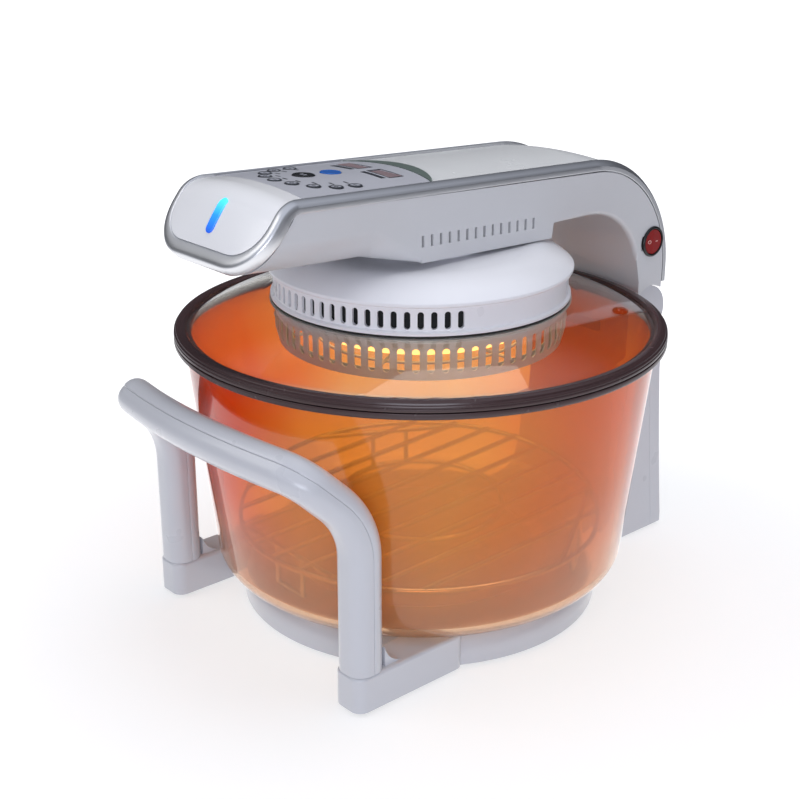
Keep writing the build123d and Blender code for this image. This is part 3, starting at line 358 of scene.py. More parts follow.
def bent_path(corners, radii, step=2.5):
    """Points along straight runs joined by one arc for each inner corner."""
    path = [Vector(corners[0])]
    for before, corner, after, radius in zip(corners, corners[1:], corners[2:], radii):
        corner = Vector(corner)
        back = (Vector(before) - corner).normalized()
        on = (Vector(after) - corner).normalized()
        turn = pi - back.angle(on)
        reach = radius * tan(turn / 2)
        centre = corner + (back + on).normalized() * radius / cos(turn / 2)
        start = corner + back * reach - centre
        end = corner + on * reach - centre
        count = 2 * max(2, round(turn / radians(2 * step)))
        for i in range(count + 1):
            a = turn * i / count
            path.append(centre + (start * sin(turn - a) + end * sin(a)) / sin(turn))
    path.append(Vector(corners[-1]))
    return path


def carried(path, side):
    """Point, side and normal along a path, carried without twist."""
    side = Vector(side)
    frames = []
    for i, point in enumerate(path):
        ahead = (path[min(i + 1, len(path) - 1)] - path[max(i - 1, 0)]).normalized()
        side = (side - ahead * side.dot(ahead)).normalized()
        frames.append((point, side, ahead.cross(side)))
    return frames


def mesh_piece(name, points, faces, material, sharp=SHARP):
    """Closed piece from points in millimetres."""
    mesh = bpy.data.meshes.new(name)
    mesh.from_pydata([Vector(p) * MM for p in points], [], faces)
    close_and_smooth(mesh, sharp)
    mesh.materials.append(material)
    piece = bpy.data.objects.new(name, mesh)
    scene.collection.objects.link(piece)
    return piece


def skinned(name, rings, material, sharp):
    """Skin over matching rings of points, capped at both ends."""
    size = len(rings[0])
    points = [p for ring in rings for p in ring]
    faces = []
    for here in range(0, len(points) - size, size):
        there = here + size
        faces += [(here + j, here + (j + 1) % size, there + (j + 1) % size, there + j) for j in range(size)]
    faces += [tuple(range(size)), tuple(range(len(points) - size, len(points)))]
    return mesh_piece(name, points, faces, material, sharp)


half_wide, half_deep = HANDLE_WIDE / 2, HANDLE_DEEP / 2
core = half_wide - HANDLE_ROUND
low = half_deep - HANDLE_ROUND
front_section = (
    arc((core, -low), HANDLE_ROUND, -90, 0, 10)
    + [(half_wide, SEAM - SEAM_EASE - SEAM_GAP), (half_wide - SEAM_EASE, SEAM - SEAM_GAP)]
    + [(SEAM_EASE - half_wide, SEAM - SEAM_GAP), (-half_wide, SEAM - SEAM_EASE - SEAM_GAP)]
    + arc((-core, -low), HANDLE_ROUND, 180, 270, 10))
rear_section = (
    [(half_wide - SEAM_EASE, SEAM + SEAM_GAP)]
    + arc((core, low), HANDLE_ROUND, 0, 90, 10)
    + arc((-core, low), HANDLE_ROUND, 90, 180, 10)
    + [(SEAM_EASE - half_wide, SEAM + SEAM_GAP)])

corners = [HANDLE_FOOT, HANDLE_KNEE, HANDLE_CORNER, HANDLE_MIDDLE, (-HANDLE_CORNER[0], *HANDLE_CORNER[1:])]
# the right half up to the middle; the left half is its mirror image
stations = [f for f in carried(bent_path(corners, HANDLE_RADII), (1, 0, 0)) if f[0].x > -0.01]
for name, section in (("handle_front_shell", front_section), ("handle_rear_shell", rear_section)):
    right = [[p + side * u + up * v for u, v in section] for p, side, up in stations]
    left = [[Vector((-p.x, p.y, p.z)) for p in ring] for ring in reversed(right[:-1])]
    piece = skinned(name + "_moulding", right + left, white_abs, HANDLE_SHARP)
    soften(piece)
    settle(piece, "base", "white_gloss", name)


# ---------------------------------------------------------------- bowl
# Round bowl of heat-resisting borosilicate glass, toned amber, pressed with a
# heavy foot and a ground rim; it stands loose on the seat ring.
BOWL_SIDES = 192
# corners of the wall as (r, z, radius): the outside up to the rim, then the inside down
BOWL_WALL = [(0, 28.0, 0), (145.6, 28.0, 17), (163.6, 196.4, 1.0),
             (159.1, 196.4, 1.0), (141.2, 32.5, 13), (0, 32.5, 0)]
BOWL_STEP = 6.0          # degrees of a rounded corner in one step
# The tones are partly the amber of the glass and partly painted light: the golden middle is the lamp's glow painted
# into the tint, the deeper red-orange to either side is painted shade.
GLOW_WAY = (0.66, 0.75, 0.0)          # the tones lie side by side along this way
GLOW_SPAN = (-0.13, 0.24)             # from here to here, in metres
AMBER_GLOW_TONES = ((0.0, "#DE4C0C"), (0.16, "#EC6A1C"), (0.3, "#F8A84C"),
               (0.55, "#F8AE48"), (0.78, "#F28A2C"), (1.0, "#F06426"))
PALE_FOOT = "#E8C4A4"
TONED_SPAN = (0.04, 0.15)              # the pale foot gives way to the tones here, metres up
CLEAR_FOOT, CLEAR_RIM = 0.94, 0.72     # share of the light that the glass lets pass
SWAY_SCALE = 7.0                       # the tones wander in waves about 140 mm long,
SWAY_ACROSS, SWAY_UP = 0.10, 0.05      # by this many metres


def rounded(corners, step=12.0):
    """Outline in (r, z) whose corners (r, z, radius) are rounded."""
    outline = []
    count = len(corners)
    for i, (x, y, radius) in enumerate(corners):
        corner = Vector((x, y))
        before = Vector(corners[i - 1][:2]) - corner
        after = Vector(corners[(i + 1) % count][:2]) - corner
        if radius == 0:
            outline.append((x, y))
            continue
        turn = pi - before.angle(after)
        reach = radius * tan(turn / 2)
        centre = corner + (before.normalized() + after.normalized()).normalized() * radius / cos(turn / 2)
        start = corner + before.normalized() * reach - centre
        end = corner + after.normalized() * reach - centre
        parts = max(2, round(turn / radians(step)))
        for k in range(parts + 1):
            a = turn * k / parts
            point = centre + (start * sin(turn - a) + end * sin(a)) / sin(turn)
            outline.append((point.x, point.y))
    return outline


def turned(name, outline, material, sides=BOWL_SIDES):
    """Closed outline in (r, z) turned about the bowl's axis; points on the axis become poles."""
    points, faces, rows = [], [], []
    for r, z in outline:
        start = len(points)
        if r < 0.001:
            points.append((0, 0, z))
            rows.append([start] * sides)
            continue
        points += [(r * cos(2 * pi * k / sides), r * sin(2 * pi * k / sides), z) for k in range(sides)]
        rows.append(list(range(start, start + sides)))
    for i, row in enumerate(rows):
        other = rows[(i + 1) % len(rows)]
        for k in range(sides):
            loop = []
            for index in (row[k], row[(k + 1) % sides], other[(k + 1) % sides], other[k]):
                if index not in loop:
                    loop.append(index)
            if len(loop) > 2:
                faces.append(tuple(loop))
    return mesh_piece(name, points, faces, material)


def colour_stops(ramp, tones):
    """Sets a ramp's colours from (place, hex) pairs that run from 0 to 1."""
    stops = ramp.color_ramp.elements
    stops[0].color = linear(tones[0][1])
    stops[1].color = linear(tones[-1][1])
    for at, colour in tones[1:-1]:
        stops.new(at).color = linear(colour)


def amber_glass_with_painted_glow():
    """Pressed amber glass, nearly clear at the foot, with the lamp's glow painted into the tint: golden in the
    middle as painted light, deeper red-orange to the sides as painted shade.
    """
    material, tree = new_material("amber_borosilicate_painted_glow")
    place = add_node(tree, "ShaderNodeTexCoord").outputs["Object"]
    height = add_node(tree, "ShaderNodeSeparateXYZ", {0: place}).outputs["Z"]
    across = add_node(tree, "ShaderNodeVectorMath", {0: place, 1: GLOW_WAY}, operation="DOT_PRODUCT")
    sway = add_node(tree, "ShaderNodeTexNoise", {"Vector": place, "Scale": SWAY_SCALE, "Detail": 2.0})
    reach = add_node(tree, "ShaderNodeMath", {
        0: sway.outputs["Fac"], 1: SWAY_ACROSS, 2: across.outputs["Value"]}, operation="MULTIPLY_ADD")
    share = add_node(tree, "ShaderNodeMapRange", {0: reach.outputs[0], 1: GLOW_SPAN[0], 2: GLOW_SPAN[1]})
    ramp = add_node(tree, "ShaderNodeValToRGB", {0: share.outputs[0]})
    colour_stops(ramp, AMBER_GLOW_TONES)
    wave = add_node(tree, "ShaderNodeMath", {
        0: sway.outputs["Fac"], 1: SWAY_UP, 2: height}, operation="MULTIPLY_ADD")
    toned = add_node(tree, "ShaderNodeMapRange", {
        0: wave.outputs[0], 1: TONED_SPAN[0], 2: TONED_SPAN[1]}, interpolation_type="SMOOTHSTEP")
    tint = add_node(tree, "ShaderNodeMix", {
        0: toned.outputs[0], 6: linear(PALE_FOOT), 7: ramp.outputs["Color"]}, data_type="RGBA")
    clear = add_node(tree, "ShaderNodeMapRange", {0: toned.outputs[0], 3: CLEAR_FOOT, 4: CLEAR_RIM})
    shader = add_node(tree, "ShaderNodeBsdfPrincipled", {
        "Base Color": tint.outputs[2], "Roughness": 0.03, "IOR": 1.47, "Specular IOR Level": 0.15,
        "Transmission Weight": clear.outputs[0]})
    finish_material(tree, shader.outputs[0], "#FDF6EE")
    return material


bowl = turned("amber_bowl", rounded(BOWL_WALL, BOWL_STEP), amber_glass_with_painted_glow())
settle(bowl, "bowl", "bowl_glass", "glass_bowl")


# ---------------------------------------------------------------- rims
# Two ribbed rings of plum-brown heat-resisting nylon: one snapped over the bowl's
# edge, one round the lid glass. They meet in a fine dark line.
RIM_STEP = 20.0          # degrees of a rounded corner in one step; the corners are under 1 mm
# moulded nylon: dark and shiny, with patches of less gloss about 11 mm across
plum = plain("plum_nylon", "#3E2A2B", 0.26, mottle=0.12, scale=90.0)
bowl_rim = turned("bowl_rim", rounded([
    (163.7, 193.3, 0.3), (166.8, 193.8, 0.5), (169.3, 194.6, 1.0), (169.3, 195.6, 0.3), (170.4, 196.0, 0.4),
    (170.4, 198.9, 0.5), (157.9, 199.15, 0.2), (157.9, 196.5, 0.2), (163.7, 196.5, 0.1),
], RIM_STEP), plum)
settle(bowl_rim, "bowl", "rim_plum", "bowl_rim_ring")
lid_rim = turned("lid_rim", rounded([
    (157.9, 199.45, 0.2), (170.4, 199.45, 0.6), (170.4, 201.6, 0.4), (169.9, 201.9, 0.2), (169.9, 202.2, 0.2),
    (170.3, 202.5, 0.3), (170.1, 203.7, 0.3), (169.2, 203.9, 0.2), (169.0, 205.4, 0.8), (166.6, 206.2, 0.8),
    (163.2, 206.2, 0.4), (161.4, 204.6, 0.1), (162.2, 204.6, 0.1), (162.2, 200.9, 0.1), (157.9, 200.7, 0.2),
], RIM_STEP), plum)
settle(lid_rim, "lid", "rim_plum", "lid_ring")


# ---------------------------------------------------------------- rack
# Low round rack of bright nickel-plated steel wire, resistance-welded, on three
# bent feet; it lies loose on the floor of the bowl.
# bright nickel over drawn wire: warm silver with sharp reflections
paint(plain("nickel_plated_wire", "#C9C6C0", 0.18, metallic=1.0, mottle=0.04, scale=300.0), "wire_rack")


# ---------------------------------------------------------------- lid glass
# Clear tempered glass dished from the rim up to the heater head, with a black
# silicone gasket where the head is clamped on. Its edge sits in the rim ring.

# outline in (r, z); each face is dished along an arc through three points
PANE_EDGE = [(162.1, 201.0), (162.1, 204.4), (160.5, 204.4)]
PANE_OUTSIDE = ((160.5, 204.4), (136, 215.4), (107, 223.6))
PANE_HOLE = [(94, 223.6), (94, 220.2)]
PANE_INSIDE = ((106.5, 220.2), (135, 212.0), (159.5, 201.0))
PANE_PARTS, PANE_SIDES = 16, 160

# float glass, tempered: colourless, with quiet reflections and a warm cast in its shadow
material, tree = new_material("clear_tempered_glass")
shader = add_node(tree, "ShaderNodeBsdfPrincipled", {
    "Base Color": linear("#FDFBF6"), "Roughness": 0.015, "IOR": 1.47, "Specular IOR Level": 0.2,
    "Transmission Weight": 1.0})
finish_material(tree, shader.outputs[0], "#F4F2EC")


def three_point(start, via, end, count):
    """Points on the circle through three points, from start to end."""
    ax, ay = start
    bx, by = via
    cx, cy = end
    d = 2 * (ax * (by - cy) + bx * (cy - ay) + cx * (ay - by))
    ux = ((ax**2 + ay**2) * (by - cy) + (bx**2 + by**2) * (cy - ay) + (cx**2 + cy**2) * (ay - by)) / d
    uy = ((ax**2 + ay**2) * (cx - bx) + (bx**2 + by**2) * (ax - cx) + (cx**2 + cy**2) * (bx - ax)) / d
    radius = hypot(ax - ux, ay - uy)
    a, c = atan2(ay - uy, ax - ux), atan2(cy - uy, cx - ux)
    sweep = (c - a + pi) % (2 * pi) - pi
    return [(ux + radius * cos(a + sweep * i / count), uy + radius * sin(a + sweep * i / count))
            for i in range(count + 1)]


pane_line = (PANE_EDGE + three_point(*PANE_OUTSIDE, PANE_PARTS)[1:]
             + PANE_HOLE + three_point(*PANE_INSIDE, PANE_PARTS))
pane = turned("clear_lid_glass", pane_line, material, PANE_SIDES)
settle(pane, "lid", "lid_glass", "lid_glass")
# moulded silicone: dull black
paint(plain("black_silicone", "#161617", 0.6, mottle=0.1), "lid_gasket")


# ---------------------------------------------------------------- heater head
# White dome and slotted skirt in gloss ABS over a pressed and brushed steel
# guard, whose slots let the hot air out round the quartz lamp.
SHADE_SHEET_IN, SHADE_SHEET_OUT = 98.5, 99.1
SHADE_SHEET_LOW, SHADE_SHEET_HIGH = 227.2, 240.7
SHADE_SHEET_SIDES = 96
BRUSH_DEEP = 0.2

# the same gloss white ABS as the base, drawn lighter: painted light on the dome and skirt, which sit in shade under
# the arm
head_white_with_painted_light = moulded("white_abs_with_painted_light", "#F0F0F5")
refined("head_dome", "lid", head_white_with_painted_light, "white_gloss", width=0.6)
refined("head_vent_band", "lid", head_white_with_painted_light, "white_gloss", width=0.25)

# black sheet behind the slots: painted shade that stands for the dark inside of the head, flat deep black
shade_sheet = turned("vent_shade_sheet", [(r, z) for r, z in (
    (SHADE_SHEET_IN, SHADE_SHEET_LOW), (SHADE_SHEET_OUT, SHADE_SHEET_LOW), (SHADE_SHEET_OUT, SHADE_SHEET_HIGH), (SHADE_SHEET_IN, SHADE_SHEET_HIGH))],
    plain("black_painted_shade", "#08090C", 0.8), SHADE_SHEET_SIDES)
settle(shade_sheet, "lid", "nylon_black")


def brushed(name, colour, roughness, along, metallic=1.0):
    """Brushed metal: a highlight drawn out along the lines; along gives the lines in a metre, x, y and z.

    Real brush lines are about 0.05 mm apart. They are drawn 0.5 to 1 mm apart, so that they show.
    """
    material, tree = new_material(name)
    place = add_node(tree, "ShaderNodeTexCoord").outputs["Object"]
    grain = add_node(tree, "ShaderNodeVectorMath", {0: place, 1: along}, operation="MULTIPLY")
    line = add_node(tree, "ShaderNodeTexNoise", {"Vector": grain.outputs["Vector"], "Scale": 1.0, "Detail": 3.0})
    rough = add_node(tree, "ShaderNodeMapRange", {
        0: line.outputs["Fac"], 3: roughness - 0.06, 4: roughness + 0.08})
    value = add_node(tree, "ShaderNodeMapRange", {0: line.outputs["Fac"], 3: 0.9, 4: 1.08})
    tint = add_node(tree, "ShaderNodeHueSaturation", {"Color": linear(colour), "Value": value.outputs[0]})
    bump = add_node(tree, "ShaderNodeBump", {
        "Height": line.outputs["Fac"], "Strength": 0.08, "Distance": BRUSH_DEEP * MM})
    tangent = add_node(tree, "ShaderNodeTangent", direction_type="RADIAL", axis="Z")
    shader = add_node(tree, "ShaderNodeBsdfPrincipled", {
        "Base Color": tint.outputs[0], "Roughness": rough.outputs[0], "Metallic": metallic,
        "Anisotropic": 0.6, "Tangent": tangent.outputs[0], "Normal": bump.outputs[0]})
    finish_material(tree, shader.outputs[0])
    return material


# stainless steel brushed round the ring, hazed by the heat: pale grey with soft long glints
guard_steel = brushed("brushed_stainless_guard", "#BFC3C3", 0.42, (60.0, 60.0, 2000.0), metallic=0.5)
refined("heater_guard", "lid", guard_steel, "guard_steel", width=0.2)
paint(guard_steel, "guard_grille")
# bright-rolled aluminium: clear streaky reflections of the lamp
aluminium = brushed("bright_aluminium", "#D8D8D6", 0.2, (900.0, 900.0, 60.0))
paint(aluminium, "reflector_plate", "convection_fan", "cooling_fan")
# drawn and zinc-plated case: mid grey with a matt spangle 5 mm across
motor_zinc = plain("zinc_motor_case", "#8C8E91", 0.4, metallic=1.0, mottle=0.1, scale=200.0)
paint(motor_zinc, "fan_motor", "motor_shaft", "thermostat_probe")
# pressed and fired steatite: matt cream
steatite = plain("steatite_ceramic", "#E9E4D8", 0.55, mottle=0.06, scale=400.0)
paint(steatite, "tube_holders", "thermal_fuse")
# fused quartz round the hot filament: the whole tube glows amber
material, tree = new_material("quartz_lamp_tube")
shader = add_node(tree, "ShaderNodeBsdfPrincipled", {
    "Base Color": linear("#FFE9C8"), "Roughness": 0.05, "IOR": 1.46,
    "Emission Color": linear("#FFB45A"), "Emission Strength": 2.6})
finish_material(tree, shader.outputs[0])
paint(material, "halogen_tube")


# ---------------------------------------------------------------- arm
# Grey lower shell of the lid's arm with its vents and hinge barrel, and the pale
# crowned cover clipped down over it: satin ABS mouldings.
ARCH_ROUND = 3.6
ARCH_SIDE = 51.6         # the arch's edges lie further out than this
ARCH_Y = (76.0, 178.0)
ARCH_Z = (222.0, 269.3)
ARCH_TURN = 50.0         # and turn more than this many degrees


def round_arch(work):
    """Rounds the two side edges of the arch that spans the bowl's rim."""
    def on_arch(point):
        x, y, z = point.co / MM
        return abs(x) > ARCH_SIDE and ARCH_Y[0] < y < ARCH_Y[1] and ARCH_Z[0] < z < ARCH_Z[1]
    edges = [e for e in work.edges if on_arch(e.verts[0]) and on_arch(e.verts[1])
             and len(e.link_faces) == 2 and e.calc_face_angle(0) > radians(ARCH_TURN)]
    bmesh.ops.bevel(work, geom=edges, offset=ARCH_ROUND * MM, offset_type="OFFSET", segments=5, profile=0.5,
                    affect="EDGES", clamp_overlap=False)
    for face in work.faces:
        face.smooth = True


# satin ABS in a light grey: wide dull highlights, a touch more peel than the gloss parts
arm_grey = moulded("light_grey_abs", "#CFCFD2", 0.34, peel=0.04, coat=0.15)
refined("arm_lower_shell", "lid", arm_grey, "arm_grey", width=0.4, shape=round_arch)
# gloss ABS, a shade greyer than the head
cover_white = moulded("pale_grey_abs", "#EDEEEF", 0.26, cloud=0.02)
refined("arm_top_cover", "lid", cover_white, "white_gloss")
# lacquered circuit board: even green
board_green = plain("green_circuit_board", "#2F6B43", 0.5, mottle=0.1, scale=300.0)
paint(board_green, "control_board", "power_board")


# ---------------------------------------------------------------- trim
# One polished chrome strip along both top edges of the arm and round the nose,
# where it widens into a flared band. It is snapped between cover and shell.
TILT = radians(51.0)     # the nose plane leans back from the level by this much
FACE = Vector((0.0, -165.6, 299.2))
FACE_UP = Vector((0, cos(TILT), sin(TILT)))
FACE_OUT = Vector((0, -sin(TILT), cos(TILT)))
SLOPE = 0.047            # fall of the arm's top towards the hinge
ARM_START = Vector((0, -140.0, 315.4))
RUN = sqrt(1 + SLOPE**2)
BACK_WAY = Vector((0, 1, -SLOPE)) / RUN
TOP_OUT = Vector((0, SLOPE, 1)) / RUN


def on_face(x, up, out=0.0):
    """Point on the tilted nose plane."""
    return FACE + Vector((x, 0, 0)) + FACE_UP * up + FACE_OUT * out


def on_top(x, v, out=0.0):
    """Point on the arm's top: v along it from the front, out above its edges."""
    return ARM_START + Vector((x, 0, 0)) + BACK_WAY * v + TOP_OUT * out


def mix(a, b, share):
    """Value between a and b that starts and ends gently as share runs from 0 to 1."""
    share = min(1.0, max(0.0, share))
    share = share * share * (3 - 2 * share)
    return a + (b - a) * share


TRIM_X = 48.0            # the trim is drawn along this line, round the plate and the cover
TRIM_FOOT = -17.6
TRIM_ROUND = 24.0
ROUND_STEPS = 14
CORNER_UP = 21.57
TOP_ROUND = 19.0
BEND_R = 88.0
BACK_Y = 205.0
END_Z = 203.4
RAIL_RUN = 38.0          # length over which the bezel turns into the rail
CHROME_SHARP = 50.0
# sections as (depth below the surface, distance outwards)
BEZEL = [(9.8, -0.4), (0.2, -0.4), (-0.1, -0.1), (-0.3, 0.9), (-0.3, 3.4), (-0.1, 5.6), (0.5, 7.4),
         (1.6, 8.6), (4.6, 9.1), (5.4, 9.3), (7.8, 9.4), (8.2, 9.1), (8.2, 6.4), (9.8, 6.4)]
RAIL = [(5.6, -2.4), (-1.8, -2.4), (-2.3, -2.2), (-2.5, -1.7), (-2.3, -0.8), (-1.5, 0.6), (-0.6, 2.0),
        (0.3, 3.1), (1.1, 3.6), (1.4, 4.0), (4.1, 4.0), (4.5, 3.8), (4.5, 1.0), (5.6, 1.0)]
SIDE_WIDTH = 0.68        # share of its width that the bezel keeps at the sides

# chrome over moulded ABS, satin plated: soft grey reflections that vary a little in blur
chrome, tree = new_material("satin_chrome")
place = add_node(tree, "ShaderNodeTexCoord").outputs["Object"]
smear = add_node(tree, "ShaderNodeTexNoise", {"Vector": place, "Scale": 35.0, "Detail": 3.0})
rough = add_node(tree, "ShaderNodeMapRange", {0: smear.outputs["Fac"], 3: 0.34, 4: 0.42})
shader = add_node(tree, "ShaderNodeBsdfPrincipled", {
    "Base Color": linear("#DBDCDF"), "Roughness": rough.outputs[0], "Metallic": 1.0})
finish_material(tree, shader.outputs[0])

# right half of the line, from the middle of the foot: point, way along it, way
# outwards, share of the rail in the section, and the bezel's width
line = [(on_face(x, TRIM_FOOT), Vector((1, 0, 0)), -FACE_UP, 0.0, 1.0) for x in (0.0, 8.0, 16.0)]
round_middle = on_face(TRIM_X - TRIM_ROUND, TRIM_FOOT + TRIM_ROUND)
for i in range(ROUND_STEPS + 1):
    a = radians(-90 + 90 * i / ROUND_STEPS)
    outward = Vector((cos(a), 0, 0)) + FACE_UP * sin(a)
    line.append((round_middle + outward * TRIM_ROUND, None, outward, 0.0, mix(1.0, SIDE_WIDTH, i / ROUND_STEPS)))
path = bent_path([
    on_face(TRIM_X, TRIM_FOOT + TRIM_ROUND), on_face(TRIM_X, CORNER_UP),
    Vector((TRIM_X, BACK_Y, ARM_START.z - SLOPE * (BACK_Y - ARM_START.y))),
    Vector((TRIM_X, BACK_Y, END_Z))], (TOP_ROUND, BEND_R), 3.0)
run = 0.0
for i, point in enumerate(path[1:], 1):
    run += (point - path[i - 1]).length
    line.append((point, None, Vector((1, 0, 0)), mix(0.0, 1.0, run / RAIL_RUN), SIDE_WIDTH))
right = []
for i, (point, way, outward, share, width) in enumerate(line):
    if way is None:
        way = (line[min(i + 1, len(line) - 1)][0] - line[i - 1][0]).normalized()
    deep = way.cross(outward).normalized()
    right.append([point + deep * (a + (c - a) * share) + outward * (b * width + (d - b * width) * share)
                  for (a, b), (c, d) in zip(BEZEL, RAIL)])
left = [[Vector((-p.x, p.y, p.z)) for p in ring] for ring in reversed(right)]
trim = skinned("chrome_trim", left[:-1] + right, chrome, CHROME_SHARP)
soften(trim)
settle(trim, "lid", "trim_chrome", "nose_ring", "trim_strips")


# ---------------------------------------------------------------- nose
# Gloss white front plate, slightly domed, that rolls over into the top of the
# arm, with a slot for the blue ready light.
PLATE_HALF = 47.6
PLATE_FOOT = -17.1
PLATE_ROUND = 23.5
PLATE_BACK = 6.2         # the plate reaches this far on to the arm's top
PLATE_THICK = 1.8
PLATE_DOME = 2.6
PLATE_PROUD = 0.15
PLATE_CLEAR = 0.85       # it stands this far above the cover at its middle
CROWN = 3.0
CROWN_HALF = 45.6
EDGE_DROP = -0.3         # the crown ends this low at the sides
HALF_COLUMNS = 24        # they stand closer together towards the sides
FACE_ROWS = 14
BEND_STEP = 5.0

# gloss ABS, polished more than the cover: crisp reflections on a clean white
nose_white = moulded("gloss_white_nose", "#F0F0F3", 0.2, peel=0.02, cloud=0.02, coat=0.4)


def crown_height(x):
    """Height of the crowned cover above the arm's edge line."""
    return CROWN * (1 - (x / CROWN_HALF) ** 2)


def plate_column(x):
    """Points up the plate at x: up the domed face, then round on to the top."""
    reach = max(0.0, abs(x) - (PLATE_HALF - PLATE_ROUND))
    foot = PLATE_FOOT + PLATE_ROUND - sqrt(max(0.0, PLATE_ROUND**2 - reach**2))
    crown = max(EDGE_DROP, crown_height(x))
    dome = PLATE_DOME * (1 - (x / PLATE_HALF) ** 2) + PLATE_PROUD
    # where the line up the face meets the line along the top
    start = on_face(x, 0, dome)
    gap = on_top(x, 0, crown) - start
    cross = FACE_UP.y * BACK_WAY.z - FACE_UP.z * BACK_WAY.y
    corner = start + FACE_UP * (gap.y * BACK_WAY.z - gap.z * BACK_WAY.y) / cross
    back = on_top(x, PLATE_BACK, crown + PLATE_CLEAR * (1 - (x / PLATE_HALF) ** 6))
    bend = bent_path([on_face(x, foot), corner, back], (TOP_ROUND,), BEND_STEP)[1:]
    bend_up = (bend[0] - FACE).dot(FACE_UP)
    face = []
    for share in [i / FACE_ROWS for i in range(FACE_ROWS)]:
        out = 0.1 + (dome - 0.1) * sin(pi / 2 * share) ** 0.8
        face.append(on_face(x, foot + (bend_up - foot) * share, out))
    return face + bend


def thinned(column, rows):
    """Column with that many points, left out evenly round the bend."""
    bend_rows = rows - FACE_ROWS
    return column[:FACE_ROWS] + [column[FACE_ROWS + round(i * (len(column) - FACE_ROWS - 1) / (bend_rows - 1))]
                                 for i in range(bend_rows)]


columns = [plate_column(PLATE_HALF * sin(pi / 2 * k / HALF_COLUMNS))
           for k in range(-HALF_COLUMNS, HALF_COLUMNS + 1)]
rows = min(len(column) for column in columns)
columns = [thinned(column, rows) for column in columns]
points = [p for column in columns for p in column]
faces = [(k * rows + i, (k + 1) * rows + i, (k + 1) * rows + i + 1, k * rows + i + 1)
         for k in range(2 * HALF_COLUMNS) for i in range(rows - 1)]
nose = mesh_piece("nose_plate", points, faces, nose_white)
shell = nose.modifiers.new("thickness", "SOLIDIFY")
shell.thickness = PLATE_THICK * MM
shell.offset = -1
settle(nose, "lid", "face_white", "nose_face")

LIGHT_UP = 3.6
LIGHT_Z = (293.0, 312.0)               # its colour runs from deep blue to cyan between these heights
LIGHT_TONES = ((0.0, "#1846B8"), (0.55, "#1F86E8"), (1.0, "#46D4FF"))
LENS_HALF, LENS_LONG = 3.6, 12.1       # half of its width and of its height
LENS_STEPS = ((1.0, -2.0), (1.0, 0.45), (0.86, 0.85))  # share of the width, height over the plate
SIDE_PARTS, END_PARTS = 10, 12
middle = columns[HALF_COLUMNS]


def on_plate(x, up, out):
    """Point on the plate's middle line: up along its surface from the plane's centre."""
    left_over = up - PLATE_FOOT
    for here, there in zip(middle, middle[1:]):
        step = there - here
        if left_over <= step.length or there is middle[-1]:
            break
        left_over -= step.length
    outward = Vector((0, -step.z, step.y)).normalized()
    return here + step.normalized() * left_over + outward * out + Vector((x, 0, 0))


# tinted acrylic lit from behind: an even glow, paler at the top, under a glossy skin
material, tree = new_material("blue_light_lens")
place = add_node(tree, "ShaderNodeTexCoord").outputs["Object"]
height = add_node(tree, "ShaderNodeSeparateXYZ", {0: place}).outputs["Z"]
share = add_node(tree, "ShaderNodeMapRange", {0: height, 1: LIGHT_Z[0] * MM, 2: LIGHT_Z[1] * MM})
ramp = add_node(tree, "ShaderNodeValToRGB", {0: share.outputs[0]})
colour_stops(ramp, LIGHT_TONES)
shader = add_node(tree, "ShaderNodeBsdfPrincipled", {
    "Base Color": ramp.outputs["Color"], "Roughness": 0.2, "Emission Color": ramp.outputs["Color"],
    "Emission Strength": 0.85, "Coat Weight": 0.6})
finish_material(tree, shader.outputs[0])
rings = []
for share, out in LENS_STEPS:
    half = LENS_HALF * share
    long = LENS_LONG - LENS_HALF * (1 - share)
    side = [(half, (half - long) * (1 - 2 * k / SIDE_PARTS)) for k in range(1, SIDE_PARTS)]
    ring = (arc((0, long - half), half, 0, 180, END_PARTS) + [(-x, -y) for x, y in side]
            + arc((0, half - long), half, 180, 360, END_PARTS) + side)
    rings.append([on_plate(x, LIGHT_UP + y, out) for x, y in ring])
lens = skinned("blue_light_lens", rings, material, CHROME_SHARP)
soften(lens)
settle(lens, "lid", "led_blue", "led_lens")


# ---------------------------------------------------------------- control panel
# Printed polycarbonate overlay on the arm's top: lavender field, black key rings
# and windows. Plain bars and dots stand where words would be printed.
PANEL_START = 6.3
RING_V, RING_R, KEY_PITCH = 51.7, 33.5, 24.0
WINDOW_X, WINDOW_V = 15.5, 94.7
# cap heights: the stem, foot and flange from the arm's edge line, the rest from the cover
STEM_R = 1.6
STEM_LOW, FOOT_LOW, FLANGE_TOP = -6.6, -4.6, -3.6
FLANGE_WIDE = 1.0
CAP_PROUD, CAP_EASE, FACE_SUNK = 1.5, 0.45, 0.2
MARK_LOW, MARK_HIGH = 1.2, 1.36
CAP_SIDES = 40
CAP_SHARP = 34.0
KEY_CROSS = [(0, 0, 3.2, 1.0), (0, 0, 1.0, 3.2)]      # plus sign; the first bar alone is a minus
BAR_RING_R = 25.4        # the bars inside the ring of keys
INK_LOW, INK_HIGH = 0.7, 1.0
BAR_PART = 4.0           # long bars are laid in parts of about this length, to follow the crown


def cut_front(work):
    """Cuts the overlay back to where the nose plate ends."""
    bmesh.ops.bisect_plane(work, geom=work.verts[:] + work.edges[:] + work.faces[:], dist=1e-7,
                           plane_co=on_top(0, PANEL_START) * MM, plane_no=-BACK_WAY, clear_outer=True)
    bmesh.ops.holes_fill(work, edges=[e for e in work.edges if len(e.link_faces) == 1])


# printed on the back of clear polycarbonate: flat lavender grey under a thin gloss
lavender = moulded("lavender_print", "#C3C4CD", 0.3, peel=0.01, cloud=0.04, coat=0.3)
refined("control_panel", "lid", lavender, "panel_lavender", width=0.1, shape=cut_front)
# the same overlay in a darker print
strip_print = moulded("grey_green_strip", "#67756F", 0.3, peel=0.01, cloud=0.04, coat=0.3)
refined("crescent_strip", "lid", strip_print, "crescent_grey")
